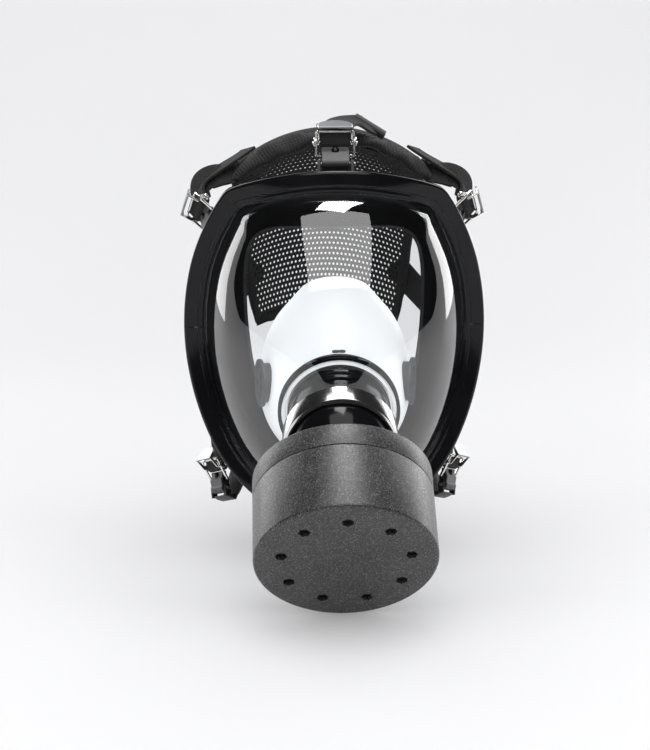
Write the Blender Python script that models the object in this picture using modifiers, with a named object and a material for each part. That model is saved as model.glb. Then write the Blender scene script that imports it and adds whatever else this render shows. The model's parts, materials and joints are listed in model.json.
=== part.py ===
"""Full face respirator: panoramic visor in a two-piece clamp rim, rubber face blank with five
lugs, angled filter port, inner nose cup, exhalation valve, screw-on filter canister and a net
head harness with five webbing straps and lever buckles.

Lengths in the constants are millimetres, the scene is metres, +Z up, the wearer looks along -Y.
"Right" is +X, the right-hand side as seen from in front of the mask.
The drawing frame has its zero on the symmetry plane, level with the widest part of the rim and
at the depth of the rim's top; the empty "respirator" carries it to the model's origin.
"""

import math

import bmesh
import bpy
from mathutils import Matrix, Vector
from mathutils.bvhtree import BVHTree

MM = 0.001
SIDES = (("right", 1), ("left", -1))

# ------------------------------------------------------------------ driving dimensions, mm
DRAWING_ZERO = (0.0, -28.682, 148.361)  # the drawing frame's zero in the model's frame

# outer outline of the clamp rim, right half, from the forehead down to the chin (x, z)
RIM_OUTLINE = [
    (0, 100), (17, 99.2), (34, 96.6), (50, 92.8), (60.5, 89.4), (66.5, 86.2), (71.5, 79.5),
    (77.5, 69), (84, 55), (89, 40), (92.5, 22), (94, 3), (93.2, -16), (90.3, -34),
    (86, -50), (80.3, -65), (72.8, -79.5), (63, -92.5), (51, -103.5), (36.5, -112),
    (19, -118), (0, -120),
]
RIM_SWEEP = 0.00475  # depth of the rim grows as this times x squared
CHIN_SWEEP = 0.0005  # and under the widest level as this times z squared
RIM_SEGMENTS = 42

LENS_CENTRE = (0.0, -38.0)  # (x, z) of the visor's crown
LENS_CROWN_Y = -50.0
LENS_POWER = 0.6  # exponent of the visor's bulge
LENS_INSET = 13.9  # visible edge, inward from the rim outline

PORT_PITCH = math.radians(37.2)  # the filter axis points this far below the horizon
PORT_ORIGIN = (0.0, -61.9, -72.6)  # centre of the canister's rear face
PORT_HOLE_R = 31.4
EXHALE_OFFSET = 40.5  # exhalation valve axis, below the filter axis
EXHALE_HOLE_R = 14.0
EXHALE_TUBE_R = 13.4

BELL_CENTRE = (0.0, -20.9, -41.5)  # rear bell of the port housing, inside the visor
BELL_PITCH = math.radians(13.8)
BELL_R = 31.0

WEB_WIDTH = 18.6
WEB_THICK = 1.8

# ------------------------------------------------------------------ scene
for old in list(bpy.data.objects):
    bpy.data.objects.remove(old, do_unlink=True)

PARTS = bpy.data.collections.new("full_face_respirator")
CUTTERS = bpy.data.collections.new("cutters")
bpy.context.scene.collection.children.link(PARTS)
bpy.context.scene.collection.children.link(CUTTERS)


def empty(name, location, rotation=(0, 0, 0), parent=None):
    obj = bpy.data.objects.new(name, None)
    obj.empty_display_size = 0.01
    PARTS.objects.link(obj)
    obj.parent = parent
    obj.location = Vector(location) * MM
    obj.rotation_euler = rotation
    return obj


# Local Z of the port and bell axes points back towards the face, local Y points down.
BODY = empty("respirator", DRAWING_ZERO)
PORT = empty("port_axis", PORT_ORIGIN, (-(math.pi / 2 - PORT_PITCH), 0, 0), BODY)
EXHALE = empty("exhale_axis", (0, EXHALE_OFFSET, 0), parent=PORT)
FILTER = empty("filter_axis", (0, 0, 0), parent=PORT)
BELL = empty("bell_axis", BELL_CENTRE, (-(math.pi / 2 - BELL_PITCH), 0, 0), BODY)


# ------------------------------------------------------------------ materials
def material(name, colour, roughness, metallic=0.0, alpha=1.0):
    result = bpy.data.materials.get(name) or bpy.data.materials.new(name)
    result.use_nodes = True
    inputs = result.node_tree.nodes["Principled BSDF"].inputs
    inputs["Base Color"].default_value = (*colour, 1)
    inputs["Roughness"].default_value = roughness
    inputs["Metallic"].default_value = metallic
    inputs["Alpha"].default_value = alpha
    return result


RUBBER = material("black_rubber", colour=(0.012, 0.012, 0.013), roughness=0.45)
GLOSS = material("gloss_black_plastic", colour=(0.008, 0.008, 0.009), roughness=0.18)
CLEAR = material("clear_polycarbonate", colour=(0.93, 0.95, 0.96), roughness=0.03, alpha=0.35)
STEEL = material("polished_steel", colour=(0.78, 0.77, 0.75), roughness=0.16, metallic=1.0)
SILICONE = material("white_silicone", colour=(0.82, 0.83, 0.83), roughness=0.4)
VALVE = material("valve_rubber", colour=(0.10, 0.10, 0.11), roughness=0.5)
SPECKLED = material("speckled_grey_plastic", colour=(0.060, 0.060, 0.058), roughness=0.6)
WEBBING = material("black_webbing", colour=(0.014, 0.014, 0.014), roughness=0.9)
NET = material("black_net", colour=(0.012, 0.012, 0.012), roughness=0.9)
PAPER = material("filter_paper", colour=(0.85, 0.84, 0.78), roughness=0.9)
CARBON = material("activated_carbon", colour=(0.02, 0.02, 0.02), roughness=0.95)
GREY = material("grey_metal", colour=(0.30, 0.31, 0.32), roughness=0.35, metallic=1.0)
TAB = material("black_tab", colour=(0.02, 0.02, 0.021), roughness=0.5)


# ------------------------------------------------------------------ object helpers
def shade(mesh, mat, angle):
    """Material, and smooth shading up to an angle in degrees."""
    mesh.materials.append(mat)
    mesh.shade_smooth()
    mesh.set_sharp_from_angle(angle=math.radians(angle))


def link(obj, mat, parent, smooth=30):
    """Puts a part in the parts collection with its material and parent."""
    PARTS.objects.link(obj)
    obj.parent = parent
    shade(obj.data, mat, smooth)
    return obj


def cutter(obj, parent=None):
    """Makes an object a hidden operand of booleans."""
    CUTTERS.objects.link(obj)
    obj.parent = parent
    obj.hide_render = True
    obj.display_type = "WIRE"
    return obj


def boolean(obj, other, operation="DIFFERENCE"):
    mod = obj.modifiers.new(operation.lower(), "BOOLEAN")
    mod.operation = operation
    mod.object = other
    mod.solver = "EXACT"


def combine(obj, tool, parent=None, operation="DIFFERENCE"):
    """Hides a fresh tool among the cutters and applies it to the object."""
    boolean(obj, cutter(tool, parent), operation)
    return tool


def thicken(obj, thickness, offset):
    mod = obj.modifiers.new("thickness", "SOLIDIFY")
    mod.thickness = thickness * MM
    mod.offset = offset


def evaluated_mesh(obj):
    """Links an object to the scene and returns a mesh of its evaluated shape."""
    bpy.context.scene.collection.objects.link(obj)
    bpy.context.view_layer.update()
    graph = bpy.context.evaluated_depsgraph_get()
    return bpy.data.meshes.new_from_object(obj.evaluated_get(graph))


def bake(obj, tools):
    """The finished mesh of an object; the object and its tools are removed."""
    mesh = evaluated_mesh(obj)
    for used in (obj, *tools):
        bpy.data.objects.remove(used)
    return mesh


# ------------------------------------------------------------------ shape helpers
def mesh_object(name, points, faces, edges=()):
    mesh = bpy.data.meshes.new(name)
    mesh.from_pydata([Vector(point) * MM for point in points], list(edges), faces)
    mesh.update()
    return bpy.data.objects.new(name, mesh)


def face_outwards(obj):
    work = bmesh.new()
    work.from_mesh(obj.data)
    bmesh.ops.recalc_face_normals(work, faces=work.faces)
    work.to_mesh(obj.data)
    work.free()
    return obj


def skin(rings, ends):
    """Points and faces through rings of equal counts; ends are "open", "cap" or "join"."""
    count, rows = len(rings[0]), len(rings)
    points = [point for ring in rings for point in ring]
    faces = []
    for k in range(rows if ends == "join" else rows - 1):
        here, there = k * count, (k + 1) % rows * count
        for i in range(count):
            j = (i + 1) % count
            faces.append((here + i, here + j, there + j, there + i))
    if ends == "cap":
        faces.append(tuple(reversed(range(count))))
        faces.append(tuple((rows - 1) * count + i for i in range(count)))
    return points, faces


def solid(name, rings, ends="cap"):
    return face_outwards(mesh_object(name, *skin(rings, ends)))


def box_ring(centre, across, thick):
    """Four corners of a cross-section from its two half-width vectors."""
    return [centre + across + thick, centre - across + thick,
            centre - across - thick, centre + across - thick]


def turned(name, profile, steps):
    """A turned piece about local Z from a profile of (radius, height).

    A profile that starts on the axis stays open there, any other is closed to a loop.
    """
    count = len(profile)
    edges = [(i, i + 1) for i in range(count - 1)]
    if profile[0][0] != 0:
        edges.append((count - 1, 0))
    obj = mesh_object(name, [(radius, 0, z) for radius, z in profile], [], edges)
    mod = obj.modifiers.new("turn", "SCREW")
    mod.axis = "Z"
    mod.steps = mod.render_steps = steps
    mod.use_merge_vertices = True
    mod.merge_threshold = 0.00001
    mod.use_smooth_shade = True
    return obj


def cylinders(name, radius, length, centres, steps):
    """Closed cylinders along local Z, each centred on a point, in one mesh."""
    work = bmesh.new()
    for centre in centres:
        bmesh.ops.create_cone(
            work, cap_ends=True, segments=steps, radius1=radius * MM, radius2=radius * MM,
            depth=length * MM, matrix=Matrix.Translation(Vector(centre) * MM),
        )
    mesh = bpy.data.meshes.new(name)
    work.to_mesh(mesh)
    work.free()
    return bpy.data.objects.new(name, mesh)


def cylinder(name, radius, length, height, steps):
    """A closed cylinder on local Z, centred at a height."""
    return cylinders(name, radius, length, [(0, 0, height)], steps)


def cross_pin(name, radius, length, steps):
    """A closed cylinder along local Y, centred on the origin."""
    obj = cylinder(name, radius, length, 0, steps)
    obj.data.transform(Matrix.Rotation(math.pi / 2, 4, "X"))
    return obj


def block(name, low, high):
    low, high = Vector(low) * MM, Vector(high) * MM
    size = high - low
    work = bmesh.new()
    bmesh.ops.create_cube(
        work, size=1,
        matrix=Matrix.Translation((low + high) / 2) @ Matrix.Diagonal((*size, 1)),
    )
    mesh = bpy.data.meshes.new(name)
    work.to_mesh(mesh)
    work.free()
    return bpy.data.objects.new(name, mesh)


def circle(radius, count, centre=(0, 0), phase=0.0):
    return [
        (
            centre[0] + radius * math.cos(phase + 2 * math.pi * i / count),
            centre[1] + radius * math.sin(phase + 2 * math.pi * i / count),
        )
        for i in range(count)
    ]


def arc(radii, start, sweep, steps, centre=(0, 0)):
    """Points on an elliptical arc; the angles are in degrees."""
    angles = [math.radians(start + sweep * k / steps) for k in range(steps + 1)]
    return [(centre[0] + radii[0] * math.cos(angle), centre[1] + radii[1] * math.sin(angle))
            for angle in angles]


def rectangle(low_x, high_x, half_y):
    return [(low_x, -half_y), (high_x, -half_y), (high_x, half_y), (low_x, half_y)]


def plate(name, outlines, thickness):
    """A flat outline with its holes, extruded evenly about local Z = 0."""
    curve = bpy.data.curves.new(name, "CURVE")
    curve.dimensions = "2D"
    curve.fill_mode = "BOTH"
    curve.extrude = thickness / 2 * MM
    for outline in outlines:
        spline = curve.splines.new("POLY")
        spline.points.add(len(outline) - 1)
        for point, (x, y) in zip(spline.points, outline):
            point.co = (x * MM, y * MM, 0, 1)
        spline.use_cyclic_u = True
    obj = bpy.data.objects.new(name, curve)

    # the curve becomes a mesh, with its caps welded to its sides
    mesh = evaluated_mesh(obj)
    work = bmesh.new()
    work.from_mesh(mesh)
    bmesh.ops.remove_doubles(work, verts=work.verts, dist=0.000002)
    bmesh.ops.recalc_face_normals(work, faces=work.faces)
    work.to_mesh(mesh)
    work.free()
    name = obj.name
    bpy.data.objects.remove(obj)
    bpy.data.curves.remove(curve)
    mesh.name = name
    return bpy.data.objects.new(name, mesh)


def side_plate(name, outlines, width):
    """An outline drawn in side view (local X, local Z), extruded evenly about local Y = 0."""
    obj = plate(name, outlines, width)
    obj.data.transform(Matrix.Rotation(math.pi / 2, 4, "X"))
    return face_outwards(obj)


def perforated_disc(name, outline, holes, thickness, height):
    """A flat disc at a height; holes are (radius, steps, circle radius, count)."""
    radius, steps, circle_radius, count = holes
    cuts = [circle(radius, steps, centre) for centre in circle(circle_radius, count)]
    disc = plate(name, [outline] + cuts, thickness)
    disc.location = (0, 0, height * MM)
    return disc


# ------------------------------------------------------------------ curves of the design
def spline_loop(points, count):
    """Evenly spaced points on a closed Catmull-Rom curve through 2-D points."""
    total = len(points)
    dense = []
    for i in range(total):
        before, start, end, after = (Vector(points[(i + k - 1) % total]) for k in range(4))
        for step in range(12):
            share = step / 12
            dense.append(
                0.5 * ((2 * start) + (end - before) * share
                       + (2 * before - 5 * start + 4 * end - after) * share * share
                       + (3 * start - before - 3 * end + after) * share**3)
            )
    dense.append(Vector(points[0]))
    lengths = [0.0]
    for start, end in zip(dense, dense[1:]):
        lengths.append(lengths[-1] + (end - start).length)
    out, k = [], 0
    for i in range(count):
        target = lengths[-1] * i / count
        while k < len(lengths) - 2 and lengths[k + 1] < target:
            k += 1
        span = lengths[k + 1] - lengths[k]
        out.append(dense[k].lerp(dense[k + 1], (target - lengths[k]) / span))
    return out


def whole(half):
    """A closed outline from its right half, which starts and ends on the symmetry plane."""
    return list(half) + [(-x, z) for x, z in reversed(half[1:-1])]


def inward(outline, distance):
    """The outline moved inwards in its own plane, along normals eased round the corners."""
    count = len(outline)
    normals = []
    for i in range(count):
        tangent = (outline[(i + 1) % count] - outline[i - 1]).normalized()
        normals.append(Vector((tangent.y, -tangent.x)))  # clockwise, seen from the front
    out = []
    for i in range(count):
        eased = sum(
            (normals[(i + k) % count] * (3 - abs(k)) for k in range(-2, 3)), Vector((0, 0))
        )
        out.append(outline[i] + eased.normalized() * distance)
    return out


def rim_depth(x, z):
    return RIM_SWEEP * x * x + (CHIN_SWEEP * z * z if z < 0 else 0.0)


RIM = spline_loop(whole(RIM_OUTLINE), RIM_SEGMENTS)
LENS_EDGE = inward(RIM, LENS_INSET)


def rim_loop(distance, forward):
    """A line round the rim, one point per section: inward from the outline and forward."""
    return [
        Vector((moved.x, rim_depth(outer.x, outer.y) - forward, moved.y))
        for outer, moved in zip(RIM, inward(RIM, distance))
    ]


def lens_reach(angle):
    """Distance from the crown to the visible edge of the visor at this angle."""
    crown = Vector(LENS_CENTRE)
    ray = Vector((math.cos(angle), math.sin(angle)))
    reaches = []
    for i in range(RIM_SEGMENTS):
        start = LENS_EDGE[i] - crown
        side = LENS_EDGE[(i + 1) % RIM_SEGMENTS] - crown - start
        det = ray.y * side.x - ray.x * side.y
        if abs(det) < 1e-9:  # side parallel to the ray
            continue
        reach = (start.y * side.x - start.x * side.y) / det
        share = (ray.x * start.y - ray.y * start.x) / det
        if reach > 0 and -1e-6 <= share <= 1 + 1e-6:
            reaches.append(reach)
    return max(reaches)


def lens_depth(x, z):
    """Depth of the visor's curved surface over a point (x, z) inside its visible edge."""
    offset = Vector((x - LENS_CENTRE[0], z - LENS_CENTRE[1]))
    angle = math.atan2(offset.y, offset.x)
    reach = lens_reach(angle)
    share = min(offset.length / reach, 1.0)
    edge_x = LENS_CENTRE[0] + math.cos(angle) * reach
    edge_z = LENS_CENTRE[1] + math.sin(angle) * reach
    # the rim outline lies about 6 % further out than the visible edge
    edge = rim_depth(edge_x * 1.06, edge_z) + 0.3
    return LENS_CROWN_Y + (edge - LENS_CROWN_Y) * (1 - (1 - share * share) ** LENS_POWER)


def meets_lens(x, y):
    """Height along the port axis at which the line through (x, y) meets the visor."""
    port_y = Vector((0, math.sin(PORT_PITCH), -math.cos(PORT_PITCH)))
    port_z = Vector((0, math.cos(PORT_PITCH), math.sin(PORT_PITCH)))
    low, high = -30.0, 75.0
    for _ in range(50):
        middle = (low + high) / 2
        point = Vector(PORT_ORIGIN) + Vector((x, 0, 0)) + port_y * y + port_z * middle
        if point.y > lens_depth(point.x, point.z):
            high = middle
        else:
            low = middle
    return low


# ------------------------------------------------------------------ clamp rim and its screws
RIM_PROFILE = [  # (inward from the outline, forward of the rim surface)
    (0, -8), (0, 2.4), (1.2, 3.6), (8.4, 4.4), (9.4, 3.4), (11.2, 3.9), (13.6, 3.0),
    (13.6, 0.3), (6.3, 0.3), (6.3, -8),
]
RIM_SEAM_GAP = 0.4
RIM_SEAM_Z = 1.5  # the seam takes the sections nearest this level
RIM_SEAM_SNAP = 6  # seam points closer than this to z = 0 are made flush
RIM_SCREW_SEAT = (90.8, 45.4)  # (x, y)


def rim_half(name, first, last, side):
    """The rim from one section to another; side is 1 above the seam and -1 below it."""
    lines = [rim_loop(*station) for station in RIM_PROFILE]
    rings = [[line[i % RIM_SEGMENTS] for line in lines] for i in range(first, last + 1)]
    for point in rings[0] + rings[-1]:
        level = 0 if abs(point.z) < RIM_SEAM_SNAP else point.z
        point.z = side * RIM_SEAM_GAP / 2 + level
    return link(solid(name, rings), GLOSS, BODY)


def seam_index(sign):
    """The rim section nearest the seam's level on one side."""
    candidates = [i for i in range(RIM_SEGMENTS) if RIM[i].x * sign >= 0]
    return min(candidates, key=lambda i: abs(RIM[i].y - RIM_SEAM_Z))


def rim_screw(side, sign, upper, lower):
    """An upright screw through both halves, with a notch for its lower end."""
    x, y = RIM_SCREW_SEAT
    seat = empty(f"rim_screw_{side}_axis", (sign * x, y, 0), parent=BODY)
    shank = cutter(cylinder(f"screw_hole_cutter_{side}", 1.5, 14.4, 0, 10), seat)
    boolean(upper, shank)
    boolean(lower, shank)
    notch = block(f"screw_notch_cutter_{side}", (-2.6, -2.6, -12), (2.6, 12, -5.2))
    combine(lower, notch, seat)
    profile = [(0, 6.6), (1.2, 6.6), (1.2, -5.5), (2.3, -5.5), (2.3, -7.2), (1.1, -7.2),
               (1.1, -6.5), (0, -6.5)]
    link(turned(f"rim_screw_{side}", profile, 10), STEEL, seat)


def build_rim():
    right, left = seam_index(1), seam_index(-1)
    upper = rim_half("rim_upper", left, right + RIM_SEGMENTS, 1)
    lower = rim_half("rim_lower", right, left, -1)
    for side, sign in SIDES:
        rim_screw(side, sign, upper, lower)


# ------------------------------------------------------------------ visor and its clamp ring
LENS_THICK = 2.2
LENS_SHARES = (0.35, 0.64, 0.84, 0.95)  # rows between crown and visible edge
LENS_FLANGE_INSET = 7.2  # outer edge, under the rim
LENS_FLANGE_BACK = 0.4  # flange behind the rim surface

RING_STEPS = 36
RING_WIDTH = 2.8
RING_BEVEL = (0.6, 1.0)  # (radial, axial) on the front outer edge
RING_FRONT = (20.5, 10.5)  # (mean height, slope) of the slanting front face
RING_CLEARANCE = 0.35  # to the visor
RING_MIN_DEPTH = 1.6


def visor():
    rows = []
    for share in LENS_SHARES:
        row = []
        for point in LENS_EDGE:
            x = LENS_CENTRE[0] + (point.x - LENS_CENTRE[0]) * share
            z = LENS_CENTRE[1] + (point.y - LENS_CENTRE[1]) * share
            row.append(Vector((x, lens_depth(x, z), z)))
        rows.append(row)
    rows.append(rim_loop(LENS_INSET, -LENS_FLANGE_BACK))
    rows.append(rim_loop(LENS_FLANGE_INSET, -LENS_FLANGE_BACK))

    points = [Vector((LENS_CENTRE[0], LENS_CROWN_Y, LENS_CENTRE[1]))]
    for row in rows:
        points += row
    count = RIM_SEGMENTS
    faces = [(0, 1 + i, 1 + (i + 1) % count) for i in range(count)]
    for k in range(len(rows) - 1):
        here, there = 1 + k * count, 1 + (k + 1) * count
        for i in range(count):
            j = (i + 1) % count
            faces.append((here + i, there + i, there + j, here + j))
    lens = mesh_object("visor_lens", points, faces)
    thicken(lens, LENS_THICK, 1.0)
    combine(lens, cylinder("port_hole_cutter", PORT_HOLE_R, 110, 30, 40), PORT)
    combine(lens, cylinder("exhale_hole_cutter", EXHALE_HOLE_R, 60, 22, 20), EXHALE)
    link(lens, CLEAR, BODY, 60)


def port_clamp_ring():
    """Ring round the port that stands on the visor, slotted for the exhale tube."""
    inner, outer = PORT_HOLE_R, PORT_HOLE_R + RING_WIDTH
    bevel_in, bevel_back = RING_BEVEL
    sections = []
    for i in range(RING_STEPS):
        angle = 2 * math.pi * i / RING_STEPS
        cosine, sine = math.cos(angle), math.sin(angle)
        front = RING_FRONT[0] - RING_FRONT[1] * sine
        outer_foot = meets_lens(outer * cosine, outer * sine) - RING_CLEARANCE
        inner_foot = meets_lens(inner * cosine, inner * sine) - RING_CLEARANCE
        # the front face moves forward where the visor rises to it
        outer_limit, inner_limit = outer_foot - RING_MIN_DEPTH, inner_foot - RING_MIN_DEPTH
        section = [
            (outer, outer_foot), (outer, min(front + bevel_back, outer_limit)),
            (outer - bevel_in, min(front, outer_limit)), (inner, min(front, inner_limit)),
            (inner, inner_foot),
        ]
        sections.append([(radius * cosine, radius * sine, z) for radius, z in section])
    ring = solid("port_clamp_ring", list(zip(*sections)), "join")
    combine(ring, cylinder("ring_slot_cutter", EXHALE_HOLE_R + 0.3, 60, 22, 24), EXHALE)
    link(ring, STEEL, PORT)


# ------------------------------------------------------------------ port housing
HOUSING_PROFILE = [  # (radius, height) about the port axis
    (0, 50.0), (30.6, 50.0), (30.6, 24.0), (29.4, 15.0), (27.4, 7.5), (25.6, 2.7), (0, 2.7),
]
PASSAGE_CENTRE = (0, 24.5, 32.25)  # in the port frame
PASSAGE_TILT = math.radians(28.2)


def connector_body():
    """Housing: port barrel, rear bell and exhale tube, hollowed out and joined inside."""
    housing = turned("connector_body", HOUSING_PROFILE, 32)

    def shape(parent, operation, *dimensions):
        combine(housing, cylinder(*dimensions), parent, operation)

    # name, radius, length, height of the middle, steps
    shape(BELL, "UNION", "bell_solid", BELL_R, 20.0, -3.0, 36)
    # what stands out beyond the bell's radius is trimmed off
    trim = [(BELL_R, 14.0), (38.0, 14.0), (38.0, -4.5), (BELL_R, -4.5)]
    combine(housing, turned("bell_trim_cutter", trim, 32), BELL)
    shape(EXHALE, "UNION", "exhale_tube_solid", EXHALE_TUBE_R, 28.0, 19.0, 20)
    shape(PORT, "DIFFERENCE", "thread_seat_cutter", 23.3, 32.0, 5.6, 28)
    shape(PORT, "DIFFERENCE", "front_room_cutter", 18.0, 12.4, 26.4, 20)
    combine(housing, block("side_window_cutter", (-40, -8, 26.6), (40, 8, 31.6)), PORT)
    shape(BELL, "DIFFERENCE", "bell_room_cutter", 28.4, 14.0, 6.0, 28)
    shape(EXHALE, "DIFFERENCE", "exhale_bore_cutter", 11.3, 24.0, 6.3, 20)
    shape(EXHALE, "DIFFERENCE", "exhale_throat_cutter", 9.4, 16.0, 22.0, 16)
    passage = cylinder("exhale_passage_cutter", 4.0, 29.6, 0, 10)
    passage.location = [value * MM for value in PASSAGE_CENTRE]
    passage.rotation_euler = (PASSAGE_TILT, 0, 0)
    combine(housing, passage, PORT)
    link(housing, GLOSS, PORT)


# ------------------------------------------------------------------ round thread
THREAD_PITCH = 3.628  # round thread, seven turns to the inch
THREAD_MALE_R = 19.0
THREAD_FEMALE_R = 19.8
THREAD_DEPTH = 0.85  # amplitude about the mean radius
THREAD_SEGMENTS = 20
THREAD_ROWS_PER_PITCH = 4
THREAD_LOW = 3.0  # both threads start at this height
NOZZLE_FOOT = [(15.6, -5.2), (25.0, -5.2), (25.0, -2.9), (17.8, -2.9), (17.8, 2.4)]


def ring_at(radius, z):
    return [(x, y, z) for x, y in circle(radius, THREAD_SEGMENTS)]


def thread_rows(mean_radius, high, runout):
    """Rings of a right-hand round thread; its ends run out inwards (-1) or outwards (1)."""
    rows = int(round((high - THREAD_LOW) / THREAD_PITCH * THREAD_ROWS_PER_PITCH))
    rings = []
    for k in range(rows + 1):
        z = THREAD_LOW + (high - THREAD_LOW) * k / rows
        fade = min(1.0, min(k, rows - k) / 3.0)
        ring = []
        for i in range(THREAD_SEGMENTS):
            angle = 2 * math.pi * i / THREAD_SEGMENTS
            wave = math.cos(2 * math.pi * (-z) / THREAD_PITCH + angle)
            radius = mean_radius + THREAD_DEPTH * (fade * wave + runout * (1 - fade))
            ring.append((radius * math.cos(angle), radius * math.sin(angle), z))
        rings.append(ring)
    return rings


def port_thread_ring():
    high, outer = 19.2, 23.0
    rings = thread_rows(THREAD_FEMALE_R, high, runout=1)
    rings += [ring_at(outer, high), ring_at(outer, THREAD_LOW)]
    link(solid("port_thread_ring", rings, "join"), GREY, PORT)


def filter_nozzle():
    """Threaded nozzle with a flange inside the canister lid."""
    high, bore = 17.0, NOZZLE_FOOT[0][0]
    rings = thread_rows(THREAD_MALE_R, high, runout=-1) + [ring_at(bore, high)]
    rings += [ring_at(radius, z) for radius, z in NOZZLE_FOOT]
    link(solid("filter_nozzle", rings, "join"), GREY, FILTER)


# ------------------------------------------------------------------ valves of the port
def inhalation_valve():
    seat = perforated_disc(
        "inhalation_valve_seat", circle(22.7, 28), holes=(4.0, 8, 10.5, 6),
        thickness=1.5, height=20.4,
    )
    link(seat, GLOSS, PORT)
    profile = [(0, 23.0), (3.0, 23.0), (16.4, 22.4), (16.4, 21.6), (0, 21.6)]
    link(turned("inhalation_valve_disc", profile, 24), VALVE, PORT)


def exhalation_valve():
    seat = perforated_disc(
        "exhalation_valve_seat", circle(10.9, 20), holes=(2.6, 8, 6.0, 5),
        thickness=1.6, height=17.1,
    )
    link(seat, GLOSS, EXHALE)
    profile = [(0, 15.9), (9.9, 15.9), (9.9, 15.1), (2.4, 14.5), (0, 14.5)]
    link(turned("exhalation_valve_disc", profile, 20), VALVE, EXHALE)


def exhalation_cover():
    """Cap on the exhale tube, with three slots crossing on its axis."""
    profile = [
        (0, 3.2), (9.6, 3.2), (9.6, 9.0), (10.8, 9.0), (10.8, 4.6), (EXHALE_TUBE_R, 4.6),
        (EXHALE_TUBE_R, 2.2), (EXHALE_TUBE_R - 0.8, 1.4), (0, 1.4),
    ]
    cover = turned("exhalation_valve_cover", profile, 20)
    for k in range(3):
        vent = block(f"vent_{k}", (-20, -1.6, 3.4), (20, 1.6, 7.4))
        vent.rotation_euler = (0, 0, math.pi * k / 3)
        combine(cover, vent, EXHALE)
    link(cover, GLOSS, EXHALE)


# ------------------------------------------------------------------ filter canister
CANISTER_R = 52.0
CANISTER_LENGTH = 58.0
CANISTER_WALL = 2.5
CANISTER_BEVEL = 1.2
LID_LENGTH = 15.0
LID_SEAM = 0.3
LID_BORE_R = 18.2
LID_BEVEL = 1.0
LID_PLATE = 2.5
LID_SPIGOT = (2.8, 4.8)  # outer and inner faces, inward from the canister's radius
LID_SPIGOT_LENGTH = 6
INLET_HOLES = 9
INLET_CIRCLE_R = 36.8
INLET_HOLE_R = 3.3

PLEATS = 9
PLEAT_HALF_WIDTH = 46.5
PLEAT_HIGH, PLEAT_LOW = 8.2, -6.8
PLEAT_THICK = 1.6
PLEAT_HEIGHT = -42.5  # middle of the pleated filter on the filter axis


def canister_body():
    """Pot, open towards the lid, with a ring of round holes in its front end."""
    inner = CANISTER_R - CANISTER_WALL
    rim, floor = -LID_LENGTH - LID_SEAM, -CANISTER_LENGTH + CANISTER_WALL
    profile = [
        (inner, rim), (CANISTER_R, rim), (CANISTER_R, -CANISTER_LENGTH + CANISTER_BEVEL),
        (CANISTER_R - CANISTER_BEVEL, -CANISTER_LENGTH), (0, -CANISTER_LENGTH),
        (0, floor), (inner, floor),
    ]
    canister = turned("canister_body", profile, 40)
    centres = [(x, y, -CANISTER_LENGTH)
               for x, y in circle(INLET_CIRCLE_R, INLET_HOLES, phase=-math.pi / 2)]
    holes = cylinders("inlet_hole_cutter", INLET_HOLE_R, 12, centres, 8)
    combine(canister, holes, FILTER)
    link(canister, SPECKLED, FILTER)


def canister_lid():
    spigot_out, spigot_in = (CANISTER_R - inset for inset in LID_SPIGOT)
    spigot_end = -LID_LENGTH - LID_SPIGOT_LENGTH
    profile = [
        (LID_BORE_R, 0), (CANISTER_R - LID_BEVEL, 0), (CANISTER_R, -LID_BEVEL),
        (CANISTER_R, -LID_LENGTH), (spigot_out, -LID_LENGTH), (spigot_out, spigot_end),
        (spigot_in, spigot_end), (spigot_in, -LID_PLATE), (LID_BORE_R, -LID_PLATE),
    ]
    link(turned("canister_lid", profile, 40), SPECKLED, FILTER)


def nozzle_gasket():
    profile = [(20.4, 2.5), (24.6, 2.5), (24.6, 0.4), (20.4, 0.4)]
    link(turned("nozzle_gasket", profile, 24), RUBBER, FILTER)


def dust_fleece():
    profile = [(0, -52.6), (46.4, -52.6), (46.4, -54.8), (0, -54.8)]
    link(turned("dust_fleece", profile, 32), PAPER, FILTER)


def particulate_filter():
    """Zigzag sheet trimmed to a disc; the folds run along local Y."""
    folds = 2 * PLEATS
    upper = [
        (-PLEAT_HALF_WIDTH + 2 * PLEAT_HALF_WIDTH * k / folds, PLEAT_HIGH if k % 2 else PLEAT_LOW)
        for k in range(folds + 1)
    ]
    under = [(x, z - PLEAT_THICK) for x, z in reversed(upper)]
    paper = plate("particulate_filter", [upper + under], 100)
    lift = Matrix.Translation((0, 0, PLEAT_HEIGHT * MM))
    paper.data.transform(lift @ Matrix.Rotation(math.pi / 2, 4, "X"))
    trim = cylinder("pleat_trim_solid", 45.6, 30, PLEAT_HEIGHT, 28)
    combine(paper, trim, FILTER, "INTERSECT")
    link(paper, PAPER, FILTER)


def screens():
    for name, height in (("front_screen", -32.4), ("rear_screen", -9.0)):
        screen = perforated_disc(
            name, circle(46.4, 28), holes=(4.0, 6, 28, 8), thickness=1.0, height=height
        )
        link(screen, GREY, FILTER)


def carbon_bed():
    profile = [(0, -9.9), (46.2, -9.9), (46.2, -31.5), (0, -31.5)]
    link(turned("carbon_bed", profile, 32), CARBON, FILTER)


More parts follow.
